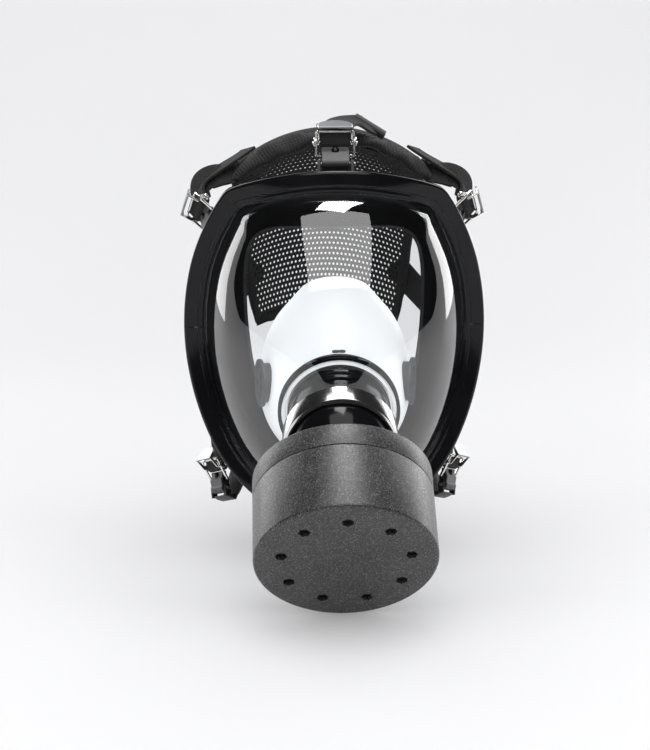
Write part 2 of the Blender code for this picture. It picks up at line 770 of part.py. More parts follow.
# ------------------------------------------------------------------ face blank and seal
# right halves, forehead to chin (x, z)
SEAL_OUTLINE = [
    (0, 84), (22, 83), (42, 77), (57, 66), (66, 48), (70.5, 25), (71, 0),
    (69, -24), (63.5, -46), (55, -66), (42, -82), (24, -92), (0, -95),
]
OPENING_OUTLINE = [
    (0, 63), (22, 63), (41, 61), (51, 53), (55, 38), (55.5, 14), (54, -8),
    (51, -28), (46, -46), (38, -61), (26, -71), (12, -76), (0, -77),
]
BLANK_RIM_PROFILE = [  # (inward from the rim outline, forward of the rim surface)
    (13.4, -4.6), (9.4, -4.6), (9.2, -9.4), (11.2, -14.5),
]
SEAL_FRONT_Y = 33
OPENING_FRONT_Y = 25
SEAL_SWEEP_X, SEAL_SWEEP_Z = 0.0066, 0.0022  # depth per x squared, and per z squared below 0
BLANK_BULGE = 2.0
LIP_BULGE = 3.0
BLANK_THICK = 2.4


def seal_point(point, front):
    x, z = point
    depth = front + SEAL_SWEEP_X * x * x + (SEAL_SWEEP_Z * z * z if z < 0 else 0.0)
    return Vector((x, depth, z))


def face_blank():
    """The blank, and a search tree of its middle surface."""
    rows = [rim_loop(*station) for station in BLANK_RIM_PROFILE]
    middle_row, seal_row, lip_row, open_row = [], [], [], []
    seal_line = spline_loop(whole(SEAL_OUTLINE), RIM_SEGMENTS)
    opening_line = spline_loop(whole(OPENING_OUTLINE), RIM_SEGMENTS)
    for rim, seal_xz, open_xz in zip(rows[-1], seal_line, opening_line):
        seal = seal_point(seal_xz, SEAL_FRONT_Y)
        opening = seal_point(open_xz, OPENING_FRONT_Y)
        middle = rim.lerp(seal, 0.55)
        middle_row.append(middle + Vector((middle.x, 0, middle.z)).normalized() * BLANK_BULGE)
        seal_row.append(seal)
        lip_row.append(seal.lerp(opening, 0.5) + Vector((0, LIP_BULGE, 0)))
        open_row.append(opening)
    points, faces = skin(rows + [middle_row, seal_row, lip_row, open_row], "open")
    blank = mesh_object("face_blank", points, faces)
    thicken(blank, BLANK_THICK, 0.0)
    link(blank, RUBBER, BODY, 60)
    return blank, BVHTree.FromPolygons(points, faces)


# ------------------------------------------------------------------ nose cup
CUP_STEPS = 28
CUP_OUTLINE = [  # rear edge, right half, top to bottom (x, z)
    (0, 33), (9, 32), (18, 28), (27, 18), (35.5, 7), (42, -7), (45, -21), (46.5, -36),
    (45, -52), (39, -66), (28, -78), (14, -85), (0, -87),
]
CUP_CENTRE_Z = -38
CUP_REAR_Y = 21
CUP_SWEEP_X = 0.009  # depth of the rear edge per x squared
CUP_SWEEP_Z, CUP_SWEEP_START = 0.0015, -20  # and per squared drop below this level
CUP_NECK_R = 33.0
CUP_NECK = (3.0, 5.0)  # neck ends in front of and behind the bell's centre
CUP_BULGES = [(0.4, 2.6), (0.78, 2.0)]  # (share of the way from neck to rear edge, bulge)
CUP_THICK = 1.6
CHECK_VALVE_CENTRE = (44.2, 14.5, -31.0)
CHECK_VALVE_TURN = math.radians(-12)


def cup_depth(x, z):
    drop = z - CUP_SWEEP_START
    return CUP_REAR_Y + CUP_SWEEP_X * x * x + (CUP_SWEEP_Z * drop**2 if drop < 0 else 0)


def cup_shell():
    bell_up = Vector((0, -math.sin(BELL_PITCH), math.cos(BELL_PITCH)))
    bell_back = Vector((0, math.cos(BELL_PITCH), math.sin(BELL_PITCH)))
    sections = []
    for x, z in spline_loop(whole(CUP_OUTLINE), CUP_STEPS):
        angle = math.atan2(x, z - CUP_CENTRE_Z)
        radial = Vector((1, 0, 0)) * math.sin(angle) + bell_up * math.cos(angle)
        ring = Vector(BELL_CENTRE) + radial * CUP_NECK_R
        neck = ring + bell_back * CUP_NECK[1]
        rear = Vector((x, cup_depth(x, z), z))
        out = Vector((rear.x, 0, rear.z - CUP_CENTRE_Z)).normalized()
        bulges = [neck.lerp(rear, share) + out * bulge for share, bulge in CUP_BULGES]
        sections.append([ring - bell_back * CUP_NECK[0], neck, *bulges, rear])
    cup = mesh_object("nose_cup", *skin(list(zip(*sections)), "open"))
    thicken(cup, CUP_THICK, 0.0)
    return cup


def check_valve(side, sign, cup):
    """Valve in one cheek of the cup: seat with four ports and a flap."""
    x, y, z = CHECK_VALVE_CENTRE
    rotation = (0, sign * math.radians(90), sign * CHECK_VALVE_TURN)
    axis = empty(f"check_valve_{side}_axis", (sign * x, y, z), rotation, BODY)
    combine(cup, cylinder(f"check_hole_cutter_{side}", 12.6, 24, 0, 16), axis)
    profile = [(0, 1.6), (9.6, 1.6), (9.6, 3.4), (14.8, 3.4), (14.8, 1.4), (12.2, 1.4),
               (12.2, -3.4), (0, -3.4)]
    seat = turned(f"check_valve_seat_{side}", profile, 20)
    centres = [(x, y, 0) for x, y in circle(6.0, 4, phase=math.pi / 4)]
    combine(seat, cylinders(f"check_port_cutter_{side}", 3.3, 16, centres, 6), axis)
    link(seat, VALVE, axis)
    profile = [(0, -3.8), (11.4, -3.8), (11.4, -4.6), (0, -5.0)]
    link(turned(f"check_valve_disc_{side}", profile, 20), SILICONE, axis)


def nose_cup():
    cup = cup_shell()
    for side, sign in SIDES:
        check_valve(side, sign, cup)
    link(cup, SILICONE, BODY, 60)
    profile = [(34.4, 3.2), (36.6, 3.2), (36.6, -2.2), (34.4, -2.2)]
    link(turned("nose_cup_ring", profile, 28), GLOSS, BELL)


# ------------------------------------------------------------------ head and net
HEAD_CENTRE = (0.0, 98.0, 11.0)
HARNESS_RADII = (98.0, 96.0, 108.0)  # inner surface of the net
NET_ROWS, NET_COLUMNS = 10, 8
NET_THICK = 2.2


def head_point(alpha, beta, lift=0.0):
    """A point over the head: alpha climbs from the forehead over the crown, beta goes sideways."""
    radius_x, radius_y, radius_z = (radius + lift for radius in HARNESS_RADII)
    return Vector(HEAD_CENTRE) + Vector((
        radius_x * math.sin(beta),
        -radius_y * math.cos(beta) * math.cos(alpha),
        radius_z * math.cos(beta) * math.sin(alpha),
    ))


def head_normal(point):
    offset = point - Vector(HEAD_CENTRE)
    return Vector([part / radius**2 for part, radius in zip(offset, HARNESS_RADII)]).normalized()


def outside_head(point, lift):
    """The point, pushed out to the lifted head surface if it lies inside."""
    offset = point - Vector(HEAD_CENTRE)
    share = math.sqrt(sum(
        (part / (radius + lift))**2 for part, radius in zip(offset, HARNESS_RADII)
    ))
    return Vector(HEAD_CENTRE) + offset / share if share < 1.0 else point


def head_net():
    """Cap from the crown (row 0) down the back of the head."""
    points, faces = [], []
    for i in range(NET_ROWS + 1):
        down = i / NET_ROWS
        half_angle = math.radians(39 - 9 * down + 4 * math.sin(math.pi * down))
        for k in range(NET_COLUMNS + 1):
            side = 2 * k / NET_COLUMNS - 1
            # the last two terms curve the upper and the lower edge
            alpha = math.radians(
                68 + 126 * down - 6 * (1 - down) * side * side + 8 * down * side * side
            )
            points.append(head_point(alpha, half_angle * side))
    for i in range(NET_ROWS):
        for k in range(NET_COLUMNS):
            here = i * (NET_COLUMNS + 1) + k
            there = here + NET_COLUMNS + 1
            faces.append((here, here + 1, there + 1, there))
    net = mesh_object("head_net", points, faces)
    thicken(net, NET_THICK, 1.0)
    link(face_outwards(net), NET, BODY, 60)


# ------------------------------------------------------------------ buckle parts
# Buckle frame: local X along the strap, local Y across it, local Z away from the head,
# origin in the lug bar.
TAB_EYE_R = 1.75
FRAME_X = 5.5  # lower bar of the buckle, in the tab's second eye
FRAME_LENGTH = 15.4
FRAME_HALF_WIDTHS = (12.4, 10.6)  # outside and window
FRAME_BARS = (0.85, 1.6)  # half the lower bar, whole upper bar
FRAME_THICK = 1.5
FRAME_TILT = math.radians(23)
SHAFT = (14.6, 0.4)  # lever shaft (along, outwards)
SHAFT_SHIFT = Matrix.Translation((SHAFT[0] * MM, 0, SHAFT[1] * MM))
EAR_SPAN = (10.9, 12.9)  # shaft ears, across

ARM_SPAN = (9.6, 10.4)
ARM_OUTLINE = [  # (along, outwards) from the shaft
    (-1.4, -1.2), (1.3, -1.2), (1.3, 4.2), (4.6, 7.9), (8.0, 6.5), (8.7, 7.6), (4.8, 9.9),
    (-1.4, 5.2),
]
THUMB_HEIGHT = 9.05
THUMB_HINGE_X = 5.5
THUMB_DIP = math.radians(35)
THUMB_HALF_WIDTH = 10.2
THUMB_BASE_X, THUMB_ROUND_X = 4.4, 8.4  # straight edge, start of the rounded end

LOOP_INNER_R = 1.6  # inside of the webbing's turn round the shaft
LOOP_TAIL = 20.0
LOOP_BEND = LOOP_TAIL - 4.0
LOOP_TAIL_LIFT = 1.0


def tab_mesh():
    """Folded tab that hangs the buckle from the lug bar, with its rivet dome."""
    outline = arc((3.2, 3.2), 55, 250, 7)
    outline += [(5.6, -3.0), (8.6, -1.5), (10.8, -1.5), (10.8, 1.5), (8.6, 1.5), (5.6, 3.0)]
    eyes = [circle(TAB_EYE_R, 8), circle(TAB_EYE_R, 8, (FRAME_X, 0.0))]
    tab = side_plate("tab", [outline, *eyes], 16.6)
    dome = cylinders("rivet_solid", 1.9, 2.2, [(8.8, 0, 1.5)], 8)
    combine(tab, dome, operation="UNION")
    return bake(tab, [dome])


def buckle_mesh():
    """Tilted frame: lower bar in the tab, top bar over the webbing, ears for the lever's shaft."""
    lower_bar, upper_bar = FRAME_BARS
    outside = rectangle(-lower_bar, FRAME_LENGTH, FRAME_HALF_WIDTHS[0])
    window = rectangle(lower_bar, FRAME_LENGTH - upper_bar, FRAME_HALF_WIDTHS[1])
    frame = plate("buckle", [outside, window], FRAME_THICK)
    frame.data.transform(
        Matrix.Translation((FRAME_X * MM, 0, 0)) @ Matrix.Rotation(-FRAME_TILT, 4, "Y")
    )
    tools = []
    for _, sign in SIDES:
        low, high = sorted(sign * edge for edge in EAR_SPAN)
        ear = block("ear_solid", (SHAFT[0] - 1.9, low, -1.5), (SHAFT[0] + 1.9, high, 4.6))
        tools.append(combine(frame, ear, operation="UNION"))
    hole = cross_pin("ear_hole_cutter", 1.25, 30.0, 8)
    hole.data.transform(SHAFT_SHIFT)
    tools.append(combine(frame, hole))
    return bake(frame, tools)


def lever_mesh():
    """Release lever about its own shaft: shaft, two arms and a D-shaped thumb plate."""
    lever = cross_pin("lever", 0.85, 27.6, 8)
    tools = []
    inner, outer = ARM_SPAN
    for _, sign in SIDES:
        arm = side_plate("arm", [ARM_OUTLINE], outer - inner)
        arm.data.transform(Matrix.Translation((0, sign * (inner + outer) / 2 * MM, 0)))
        tools.append(combine(lever, arm, operation="UNION"))
    thumb = [(THUMB_BASE_X, -THUMB_HALF_WIDTH), (THUMB_ROUND_X, -THUMB_HALF_WIDTH)]
    thumb += arc((6.0, THUMB_HALF_WIDTH), -80, 160, 6, (THUMB_ROUND_X, 0))
    thumb += [(THUMB_ROUND_X, THUMB_HALF_WIDTH), (THUMB_BASE_X, THUMB_HALF_WIDTH)]
    pad = plate("pad", [thumb], 1.3)
    pad.data.transform(Matrix.Translation((0, 0, THUMB_HEIGHT * MM)))
    hinge = Matrix.Translation((THUMB_HINGE_X * MM, 0, THUMB_HEIGHT * MM))
    # the plate dips towards the webbing
    pad.data.transform(hinge @ Matrix.Rotation(THUMB_DIP, 4, "Y") @ hinge.inverted())
    tools.append(combine(lever, face_outwards(pad), operation="UNION"))
    return bake(lever, tools)


def loop_mesh(reach):
    """Webbing round the lever's shaft: lower strand, turn, upper strand and free tail."""
    height = SHAFT[1]
    inner, outer = LOOP_INNER_R, LOOP_INNER_R + WEB_THICK
    outline = [(reach, height - outer)]
    outline += arc((outer, outer), -90, -180, 8, SHAFT)
    outline += [
        (LOOP_BEND, height + outer), (LOOP_TAIL, height + outer + LOOP_TAIL_LIFT),
        (LOOP_TAIL, height + inner + LOOP_TAIL_LIFT), (LOOP_BEND, height + inner),
    ]
    outline += arc((inner, inner), 90, 180, 6, SHAFT)
    outline += [(reach, height - inner)]
    return side_plate("webbing_loop", [outline], WEB_WIDTH).data


# ------------------------------------------------------------------ anchors, lugs and straps
# centre, along, outwards: lug bar centre, strap direction and outward normal
# root, root_across, root_normal, root_half: where the lug leaves the face blank, its
#     directions across and through the web, and half its width
# knee: the web runs down behind the buckle and turns up under the bar
# reach: how far the loop's lower strand runs along the strap
# strap_end: where the strap ends on the head (alpha, beta), degrees
# bulge, lead: outward offset and relative length of the strap's first curve handle
ANCHORS = {
    "top": dict(
        centre=(0, 14.1, 102.7), along=(0, 0.587, 0.81), outwards=(0, -0.81, 0.587),
        root=(0, 11.6, 90.6), root_across=(1, 0, 0), root_normal=(0, -0.98, 0.2),
        root_half=15.0, knee=False, reach=22.0, strap_end=(80.0, 0.0), bulge=-3.0, lead=0.20,
    ),
    "temple": dict(
        centre=(75.8, 49.0, 61.8), along=(0.427, 0.552, 0.716),
        outwards=(0.873, -0.466, -0.164),
        root=(71.5, 46.5, 54.0), root_across=(0.28, 0.60, -0.74), root_normal=(0.9, -0.25, 0.2),
        root_half=11.0, knee=False, reach=18.0, strap_end=(82.0, 31.0), bulge=0.0, lead=0.38,
    ),
    "cheek": dict(
        centre=(73.5, 57.0, -109.5), along=(0.10, 0.30, 0.95), outwards=(0.88, -0.46, 0.05),
        root=(55.4, 46.0, -81.2), root_across=(0.33, 0.90, 0.2), root_normal=(0.84, -0.30, 0.40),
        root_half=11.0, knee=True, reach=34.0, strap_end=(176.0, 28.0), bulge=5.0, lead=0.32,
    ),
}
LUG_HALF_THICK = 1.6
LUG_HALF_WIDTH = 10.4
LUG_EAR_SPAN = (8.8, 11.0)
STRAP_STATIONS = 9
STRAP_LIFT = NET_THICK + 1.4 + WEB_THICK / 2  # strap's middle above the net's inner surface


def anchor_matrix(centre, along, outwards):
    """Buckle frame of an anchor."""
    along = along.normalized()
    outwards = (outwards - along * outwards.dot(along)).normalized()
    across = outwards.cross(along)
    matrix = Matrix((along, across, outwards)).transposed().to_4x4()
    matrix.translation = centre * MM
    return matrix


def axes_of(matrix):
    rotation = matrix.to_3x3()
    return [rotation.col[i].copy() for i in range(3)]


def towards(vector, reference):
    """The unit vector, reversed if it points away from the reference."""
    vector = vector.normalized()
    return vector if vector.dot(reference) > 0 else -vector


def add_lug(blank, name, matrix, anchor, root, flip):
    """Moulded strap lug: a web from the face blank that ends in two ears for the bar."""
    along, across, outwards = axes_of(matrix)
    centre = matrix.translation / MM
    root_across = towards(Vector(anchor["root_across"]) * flip, across) * anchor["root_half"]
    root_thick = towards(Vector(anchor["root_normal"]) * flip, outwards) * LUG_HALF_THICK
    half_width = across * LUG_HALF_WIDTH
    rings = [box_ring(root, root_across, root_thick)]
    foot_thick = outwards * LUG_HALF_THICK
    if anchor["knee"]:
        bend = centre - along * 6.6 - outwards * 5.6
        rings.append(box_ring(bend, half_width, along * LUG_HALF_THICK))
        foot_thick = -foot_thick  # past the turn the web's faces swap sides
    rings.append(box_ring(centre - along * 4.6, half_width, foot_thick))
    combine(blank, solid(f"{name}_web_solid", rings), BODY, "UNION")
    for _, sign in SIDES:
        low, high = sorted(sign * edge for edge in LUG_EAR_SPAN)
        ear = block(f"{name}_ear_solid", (-5.6, low, -1.9), (2.3, high, 1.9))
        combine(blank, ear, BODY, "UNION").matrix_local = matrix
    hole = cross_pin(f"{name}_pin_cutter", 1.5, 30.0, 8)
    combine(blank, hole, BODY).matrix_local = matrix


def strap_path(start, leave, normal, end, bulge, lead):
    """Cubic curve from the loop's direction to the head's surface, kept outside the net."""
    reach = (end - start).length
    end_normal = head_normal(end)
    end_dir = (end - start).normalized()
    end_dir = (end_dir - end_normal * end_dir.dot(end_normal)).normalized()
    start_handle = start + leave * reach * lead + normal * bulge
    end_handle = end - end_dir * reach * 0.33
    path = []
    for k in range(STRAP_STATIONS):
        done = k / (STRAP_STATIONS - 1)
        left = 1 - done
        point = (start * left**3 + start_handle * 3 * done * left**2
                 + end_handle * 3 * done * done * left + end * done**3)
        path.append(outside_head(point, STRAP_LIFT))
    return path


def strap(name, matrix, anchor, centre, sign):
    """Webbing from the buckle's loop to the net, laid over the outside of the net's edge."""
    leave, _, normal = axes_of(matrix)
    strand = SHAFT[1] - LOOP_INNER_R - WEB_THICK / 2
    start = centre + leave * (anchor["reach"] + 1.0) + normal * strand
    alpha, beta = (math.radians(angle) for angle in anchor["strap_end"])
    end = head_point(alpha, sign * beta, STRAP_LIFT)
    path = strap_path(start, leave, normal, end, anchor["bulge"], anchor["lead"])
    last = STRAP_STATIONS - 1
    rings = []
    for k, point in enumerate(path):
        done = k / last
        ease = done * done * (3 - 2 * done)
        lean = normal.lerp(head_normal(point), ease).normalized()
        tangent = leave if k == 0 else (path[min(k + 1, last)] - path[k - 1]).normalized()
        lean = (lean - tangent * lean.dot(tangent)).normalized()
        across = lean.cross(tangent)
        rings.append(box_ring(point, across * (WEB_WIDTH / 2), lean * (WEB_THICK / 2)))
    link(solid(name, rings), WEBBING, BODY)


def instance(name, mesh, matrix, mat):
    obj = bpy.data.objects.new(name, mesh)
    PARTS.objects.link(obj)
    obj.parent = BODY
    obj.matrix_local = matrix
    if not mesh.materials:  # the first instance finishes the shared mesh
        shade(mesh, mat, 35)


def build_harness(blank, blank_skin):
    """Lug, bar, buckle and strap at each of the five anchors."""
    bar = cross_pin("bar", 1.15, 24.0, 10).data
    tab, buckle, lever = tab_mesh(), buckle_mesh(), lever_mesh()
    for kind, anchor in ANCHORS.items():
        loop = loop_mesh(anchor["reach"])
        sides = [("", 1)] if kind == "top" else [(f"_{side}", sign) for side, sign in SIDES]
        for suffix, sign in sides:
            name = kind + suffix
            flip = Vector((sign, 1, 1))
            centre, along, outwards, root = (
                Vector(anchor[key]) * flip for key in ("centre", "along", "outwards", "root")
            )
            matrix = anchor_matrix(centre, along, outwards)
            root = blank_skin.find_nearest(root)[0]
            add_lug(blank, name, matrix, anchor, root, flip)
            instance(f"{name}_bar", bar, matrix, GREY)
            instance(f"{name}_tab", tab, matrix, TAB)
            instance(f"{name}_buckle", buckle, matrix, STEEL)
            instance(f"{name}_lever", lever, matrix @ SHAFT_SHIFT, STEEL)
            instance(f"{name}_strap_loop", loop, matrix, WEBBING)
            strap(f"{name}_strap", matrix, anchor, centre, sign)


# ------------------------------------------------------------------ build
build_rim()
visor()
port_clamp_ring()
connector_body()
port_thread_ring()
inhalation_valve()
exhalation_valve()
exhalation_cover()
canister_body()
canister_lid()
filter_nozzle()
nozzle_gasket()
dust_fleece()
particulate_filter()
screens()
carbon_bed()
BLANK, BLANK_SKIN = face_blank()
nose_cup()
head_net()
build_harness(BLANK, BLANK_SKIN)
bpy.context.view_layer.update()
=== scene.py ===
"""Full-face respirator with its filter canister, buckled straps and head net.

The drawing frame is in millimetres: x across, y back towards the wearer, z up. Its zero is on
the symmetry plane near the rim's widest level. Pieces called right lie at +x, left at -x.
"""
import json
import math
from functools import cache
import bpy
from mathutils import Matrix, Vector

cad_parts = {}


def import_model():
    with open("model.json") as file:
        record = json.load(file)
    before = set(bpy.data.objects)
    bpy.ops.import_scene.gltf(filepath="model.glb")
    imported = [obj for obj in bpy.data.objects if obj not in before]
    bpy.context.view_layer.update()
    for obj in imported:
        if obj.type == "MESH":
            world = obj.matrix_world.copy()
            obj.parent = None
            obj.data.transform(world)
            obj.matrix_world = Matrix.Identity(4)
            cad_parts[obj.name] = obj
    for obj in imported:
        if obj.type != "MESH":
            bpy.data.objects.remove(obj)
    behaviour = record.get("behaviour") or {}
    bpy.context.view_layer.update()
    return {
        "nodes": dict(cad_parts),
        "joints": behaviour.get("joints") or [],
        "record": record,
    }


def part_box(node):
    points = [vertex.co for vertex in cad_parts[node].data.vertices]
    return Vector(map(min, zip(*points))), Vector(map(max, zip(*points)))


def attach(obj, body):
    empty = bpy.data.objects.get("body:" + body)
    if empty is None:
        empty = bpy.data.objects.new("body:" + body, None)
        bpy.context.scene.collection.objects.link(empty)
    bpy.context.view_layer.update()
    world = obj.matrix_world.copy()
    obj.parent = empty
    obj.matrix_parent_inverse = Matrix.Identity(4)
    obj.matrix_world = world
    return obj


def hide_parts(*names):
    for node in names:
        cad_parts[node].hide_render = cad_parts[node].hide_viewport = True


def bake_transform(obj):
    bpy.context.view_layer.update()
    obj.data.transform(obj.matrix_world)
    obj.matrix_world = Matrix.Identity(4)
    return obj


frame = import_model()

from types import SimpleNamespace

import bmesh
import bpy
import numpy as np
from mathutils import Euler, Matrix, Vector

MM = 0.001
TOP_BAR_Y = 14.1
RIM_TOP = 100.0

JOINTS = {joint["name"]: joint for joint in frame["joints"]}
ZERO = Vector((
    0.0,
    JOINTS["top_buckle_swing"]["pos_m"][1] * 1000 - TOP_BAR_Y,
    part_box("rim_upper")[1].z * 1000 - RIM_TOP,
))


def world(point):
    """A drawing point in the scene's metres."""
    return (Vector(point) + ZERO) * MM


# ------------------------------------------------------------------ shader helpers
def new_material(name):
    material = bpy.data.materials.new(name)
    material.use_nodes = True
    tree = material.node_tree
    return material, tree, tree.nodes["Principled BSDF"]


def set_inputs(shader, values):
    for name, value in values.items():
        shader.inputs[name].default_value = value


def node(tree, kind, **values):
    """A new node; each value goes to the input of that name, or else to the property."""
    made = tree.nodes.new(kind)
    for key, value in values.items():
        if key in made.inputs:
            made.inputs[key].default_value = value
        else:
            setattr(made, key, value)
    return made


def coords(tree, kind="Object"):
    return node(tree, "ShaderNodeTexCoord").outputs[kind]


def noise(tree, vector, scale, detail):
    made = node(tree, "ShaderNodeTexNoise", Scale=scale, Detail=detail, Roughness=0.55)
    tree.links.new(vector, made.inputs["Vector"])
    return made.outputs["Fac"]


def ramp(tree, value, *stops):
    """Colour by value, through stops of (position, rgb)."""
    made = node(tree, "ShaderNodeValToRGB")
    elements = made.color_ramp.elements
    for element, (position, rgb) in zip(elements, (stops[0], stops[-1])):
        element.position = position
        element.color = (*rgb, 1)
    for position, rgb in stops[1:-1]:
        elements.new(position).color = (*rgb, 1)
    tree.links.new(value, made.inputs["Fac"])
    return made.outputs["Color"]


def span(tree, value, low, high):
    made = node(tree, "ShaderNodeMapRange")
    set_inputs(made, {"To Min": low, "To Max": high})
    tree.links.new(value, made.inputs["Value"])
    return made.outputs["Result"]


def bump(tree, height, strength, distance, under=None):
    """A bumped normal, laid over the normal under where one is given."""
    made = node(tree, "ShaderNodeBump", Strength=strength, Distance=distance)
    tree.links.new(height, made.inputs["Height"])
    if under is not None:
        tree.links.new(under, made.inputs["Normal"])
    return made.outputs["Normal"]


def maths(tree, operation, *operands):
    made = node(tree, "ShaderNodeMath", operation=operation)
    for socket, operand in zip(made.inputs, operands):
        if isinstance(operand, (int, float)):
            socket.default_value = operand
        else:
            tree.links.new(operand, socket)
    return made.outputs[0]


# ------------------------------------------------------------------ materials
def plain(name, dark, light, rough, grain, depth, metal=0.0, specular=0.5):
    """Slow colour drift, uneven gloss, and fine grain of a scale and a depth in metres."""
    material, tree, shader = new_material(name)
    place = coords(tree)
    broad = noise(tree, place, scale=28.0, detail=4)
    fine = noise(tree, place, scale=grain, detail=2)
    link = tree.links.new
    link(ramp(tree, broad, (0.3, dark), (0.7, light)), shader.inputs["Base Color"])
    link(span(tree, broad, *rough), shader.inputs["Roughness"])
    link(bump(tree, fine, strength=0.35, distance=depth), shader.inputs["Normal"])
    set_inputs(shader, {"Metallic": metal, "Specular IOR Level": specular, "Coat Roughness": 0.06})
    return material


GLOSS = plain("gloss_black", dark=(0.004, 0.004, 0.005), light=(0.008, 0.008, 0.009),
              rough=(0.07, 0.15), grain=1400, depth=0.000004, specular=0.24)
RUBBER = plain("black_rubber", dark=(0.005, 0.005, 0.006), light=(0.011, 0.011, 0.012),
               rough=(0.36, 0.52), grain=1100, depth=0.00003, specular=0.32)
TAB = plain("black_tab", dark=(0.016, 0.016, 0.017), light=(0.032, 0.032, 0.034),
            rough=(0.34, 0.5), grain=1300, depth=0.00004)
STEEL = plain("polished_steel", dark=(0.70, 0.69, 0.67), light=(0.86, 0.85, 0.83),
              rough=(0.08, 0.20), grain=700, depth=0.000004, metal=1.0)
GREY = plain("grey_metal", dark=(0.22, 0.23, 0.24), light=(0.36, 0.37, 0.38),
             rough=(0.28, 0.42), grain=900, depth=0.00001, metal=1.0)
VALVE = plain("valve_rubber", dark=(0.05, 0.05, 0.055), light=(0.11, 0.11, 0.115),
              rough=(0.35, 0.5), grain=1000, depth=0.00002)
PAPER = plain("filter_paper", dark=(0.74, 0.72, 0.66), light=(0.88, 0.87, 0.82),
              rough=(0.8, 0.95), grain=1600, depth=0.00006)
# painted shade: a near-black felt for the fleece behind the canister's inlet holes, so the holes
# read dark as the shade inside the canister
FELT_PAINTED_SHADE = plain("fleece_painted_shade", dark=(0.012, 0.012, 0.012), light=(0.035, 0.035, 0.034),
             rough=(0.85, 0.98), grain=1500, depth=0.0003, specular=0.1)
CARBON = plain("carbon", dark=(0.010, 0.010, 0.010), light=(0.05, 0.05, 0.05),
               rough=(0.7, 0.95), grain=800, depth=0.0004)


def silicone_material():
    """Soft translucent white. A faint emission is painted light that brightens the cup where it sits
    in shade behind the visor.
    """
    material, tree, shader = new_material("white_silicone")
    place = coords(tree)
    link = tree.links.new
    broad = noise(tree, place, scale=22, detail=3)
    colour = ramp(tree, broad, (0.3, (0.86, 0.865, 0.865)), (0.7, (0.92, 0.922, 0.92)))
    link(colour, shader.inputs["Base Color"])
    link(span(tree, broad, low=0.32, high=0.46), shader.inputs["Roughness"])
    fine = noise(tree, place, scale=900, detail=2)
    link(bump(tree, fine, strength=0.2, distance=0.00002), shader.inputs["Normal"])
    # painted light: the emission lifts the shaded cup, which is no lamp; the subsurface values are
    # the silicone's own
    set_inputs(shader, {
        "Emission Color": (0.97, 0.985, 1.0, 1), "Emission Strength": 0.46,
        "Subsurface Weight": 0.35, "Subsurface Scale": 0.004,
        "Subsurface Radius": (1.0, 0.95, 0.9),
    })
    return material


def lens_material():
    """Thin hard-coated clear sheet: seen through straight on, mirror-like at a glance."""
    material, tree, _ = new_material("clear_visor")
    tree.nodes.clear()
    link = tree.links.new
    output = node(tree, "ShaderNodeOutputMaterial")
    place = coords(tree)
    clear = node(tree, "ShaderNodeBsdfTransparent")
    tint = ramp(tree, noise(tree, place, scale=9, detail=2),
                (0.3, (0.945, 0.955, 0.96)), (0.7, (0.965, 0.97, 0.975)))
    link(tint, clear.inputs["Color"])
    shine = node(tree, "ShaderNodeBsdfAnisotropic", Color=(1, 1, 1, 1))
    haze = noise(tree, place, scale=14, detail=3)
    link(span(tree, haze, low=0.012, high=0.035), shine.inputs["Roughness"])
    fresnel = node(tree, "ShaderNodeFresnel", IOR=1.95)
    mix = node(tree, "ShaderNodeMixShader")
    # the outer face reflects for both faces; the inner face only lets light through
    inner = node(tree, "ShaderNodeNewGeometry").outputs["Backfacing"]
    outer = maths(tree, "SUBTRACT", 1.0, inner)
    link(maths(tree, "MULTIPLY", fresnel.outputs[0], outer), mix.inputs[0])
    link(clear.outputs[0], mix.inputs[1])
    link(shine.outputs[0], mix.inputs[2])
    link(mix.outputs[0], output.inputs["Surface"])
    return material


def speckled_material():
    """Charcoal nylon with glinting grains."""
    material, tree, shader = new_material("speckled_nylon")
    place = coords(tree)
    link = tree.links.new
    grains = node(tree, "ShaderNodeTexVoronoi", Scale=2300.0)
    link(place, grains.inputs["Vector"])
    pick = node(tree, "ShaderNodeSeparateColor")
    link(grains.outputs["Color"], pick.inputs[0])
    base = ramp(tree, noise(tree, place, scale=60, detail=4),
                (0.3, (0.015, 0.015, 0.0145)), (0.7, (0.026, 0.026, 0.025)))
    # only the top fifth of the grains glint strongly
    glint = ramp(tree, pick.outputs[0], (0.0, (0.0, 0.0, 0.0)), (0.80, (0.006, 0.006, 0.006)),
                 (1.0, (0.17, 0.17, 0.165)))
    add = node(tree, "ShaderNodeMixRGB", blend_type="ADD")
    add.inputs[0].default_value = 1.0
    link(base, add.inputs[1])
    link(glint, add.inputs[2])
    link(add.outputs[0], shader.inputs["Base Color"])
    link(span(tree, pick.outputs[1], low=0.24, high=0.50), shader.inputs["Roughness"])
    grainy = bump(tree, grains.outputs["Distance"], strength=0.5, distance=0.00009)
    fine = noise(tree, place, scale=700, detail=3)
    link(bump(tree, fine, strength=0.35, distance=0.0001, under=grainy), shader.inputs["Normal"])
    set_inputs(shader, {"Specular IOR Level": 0.62})
    return material


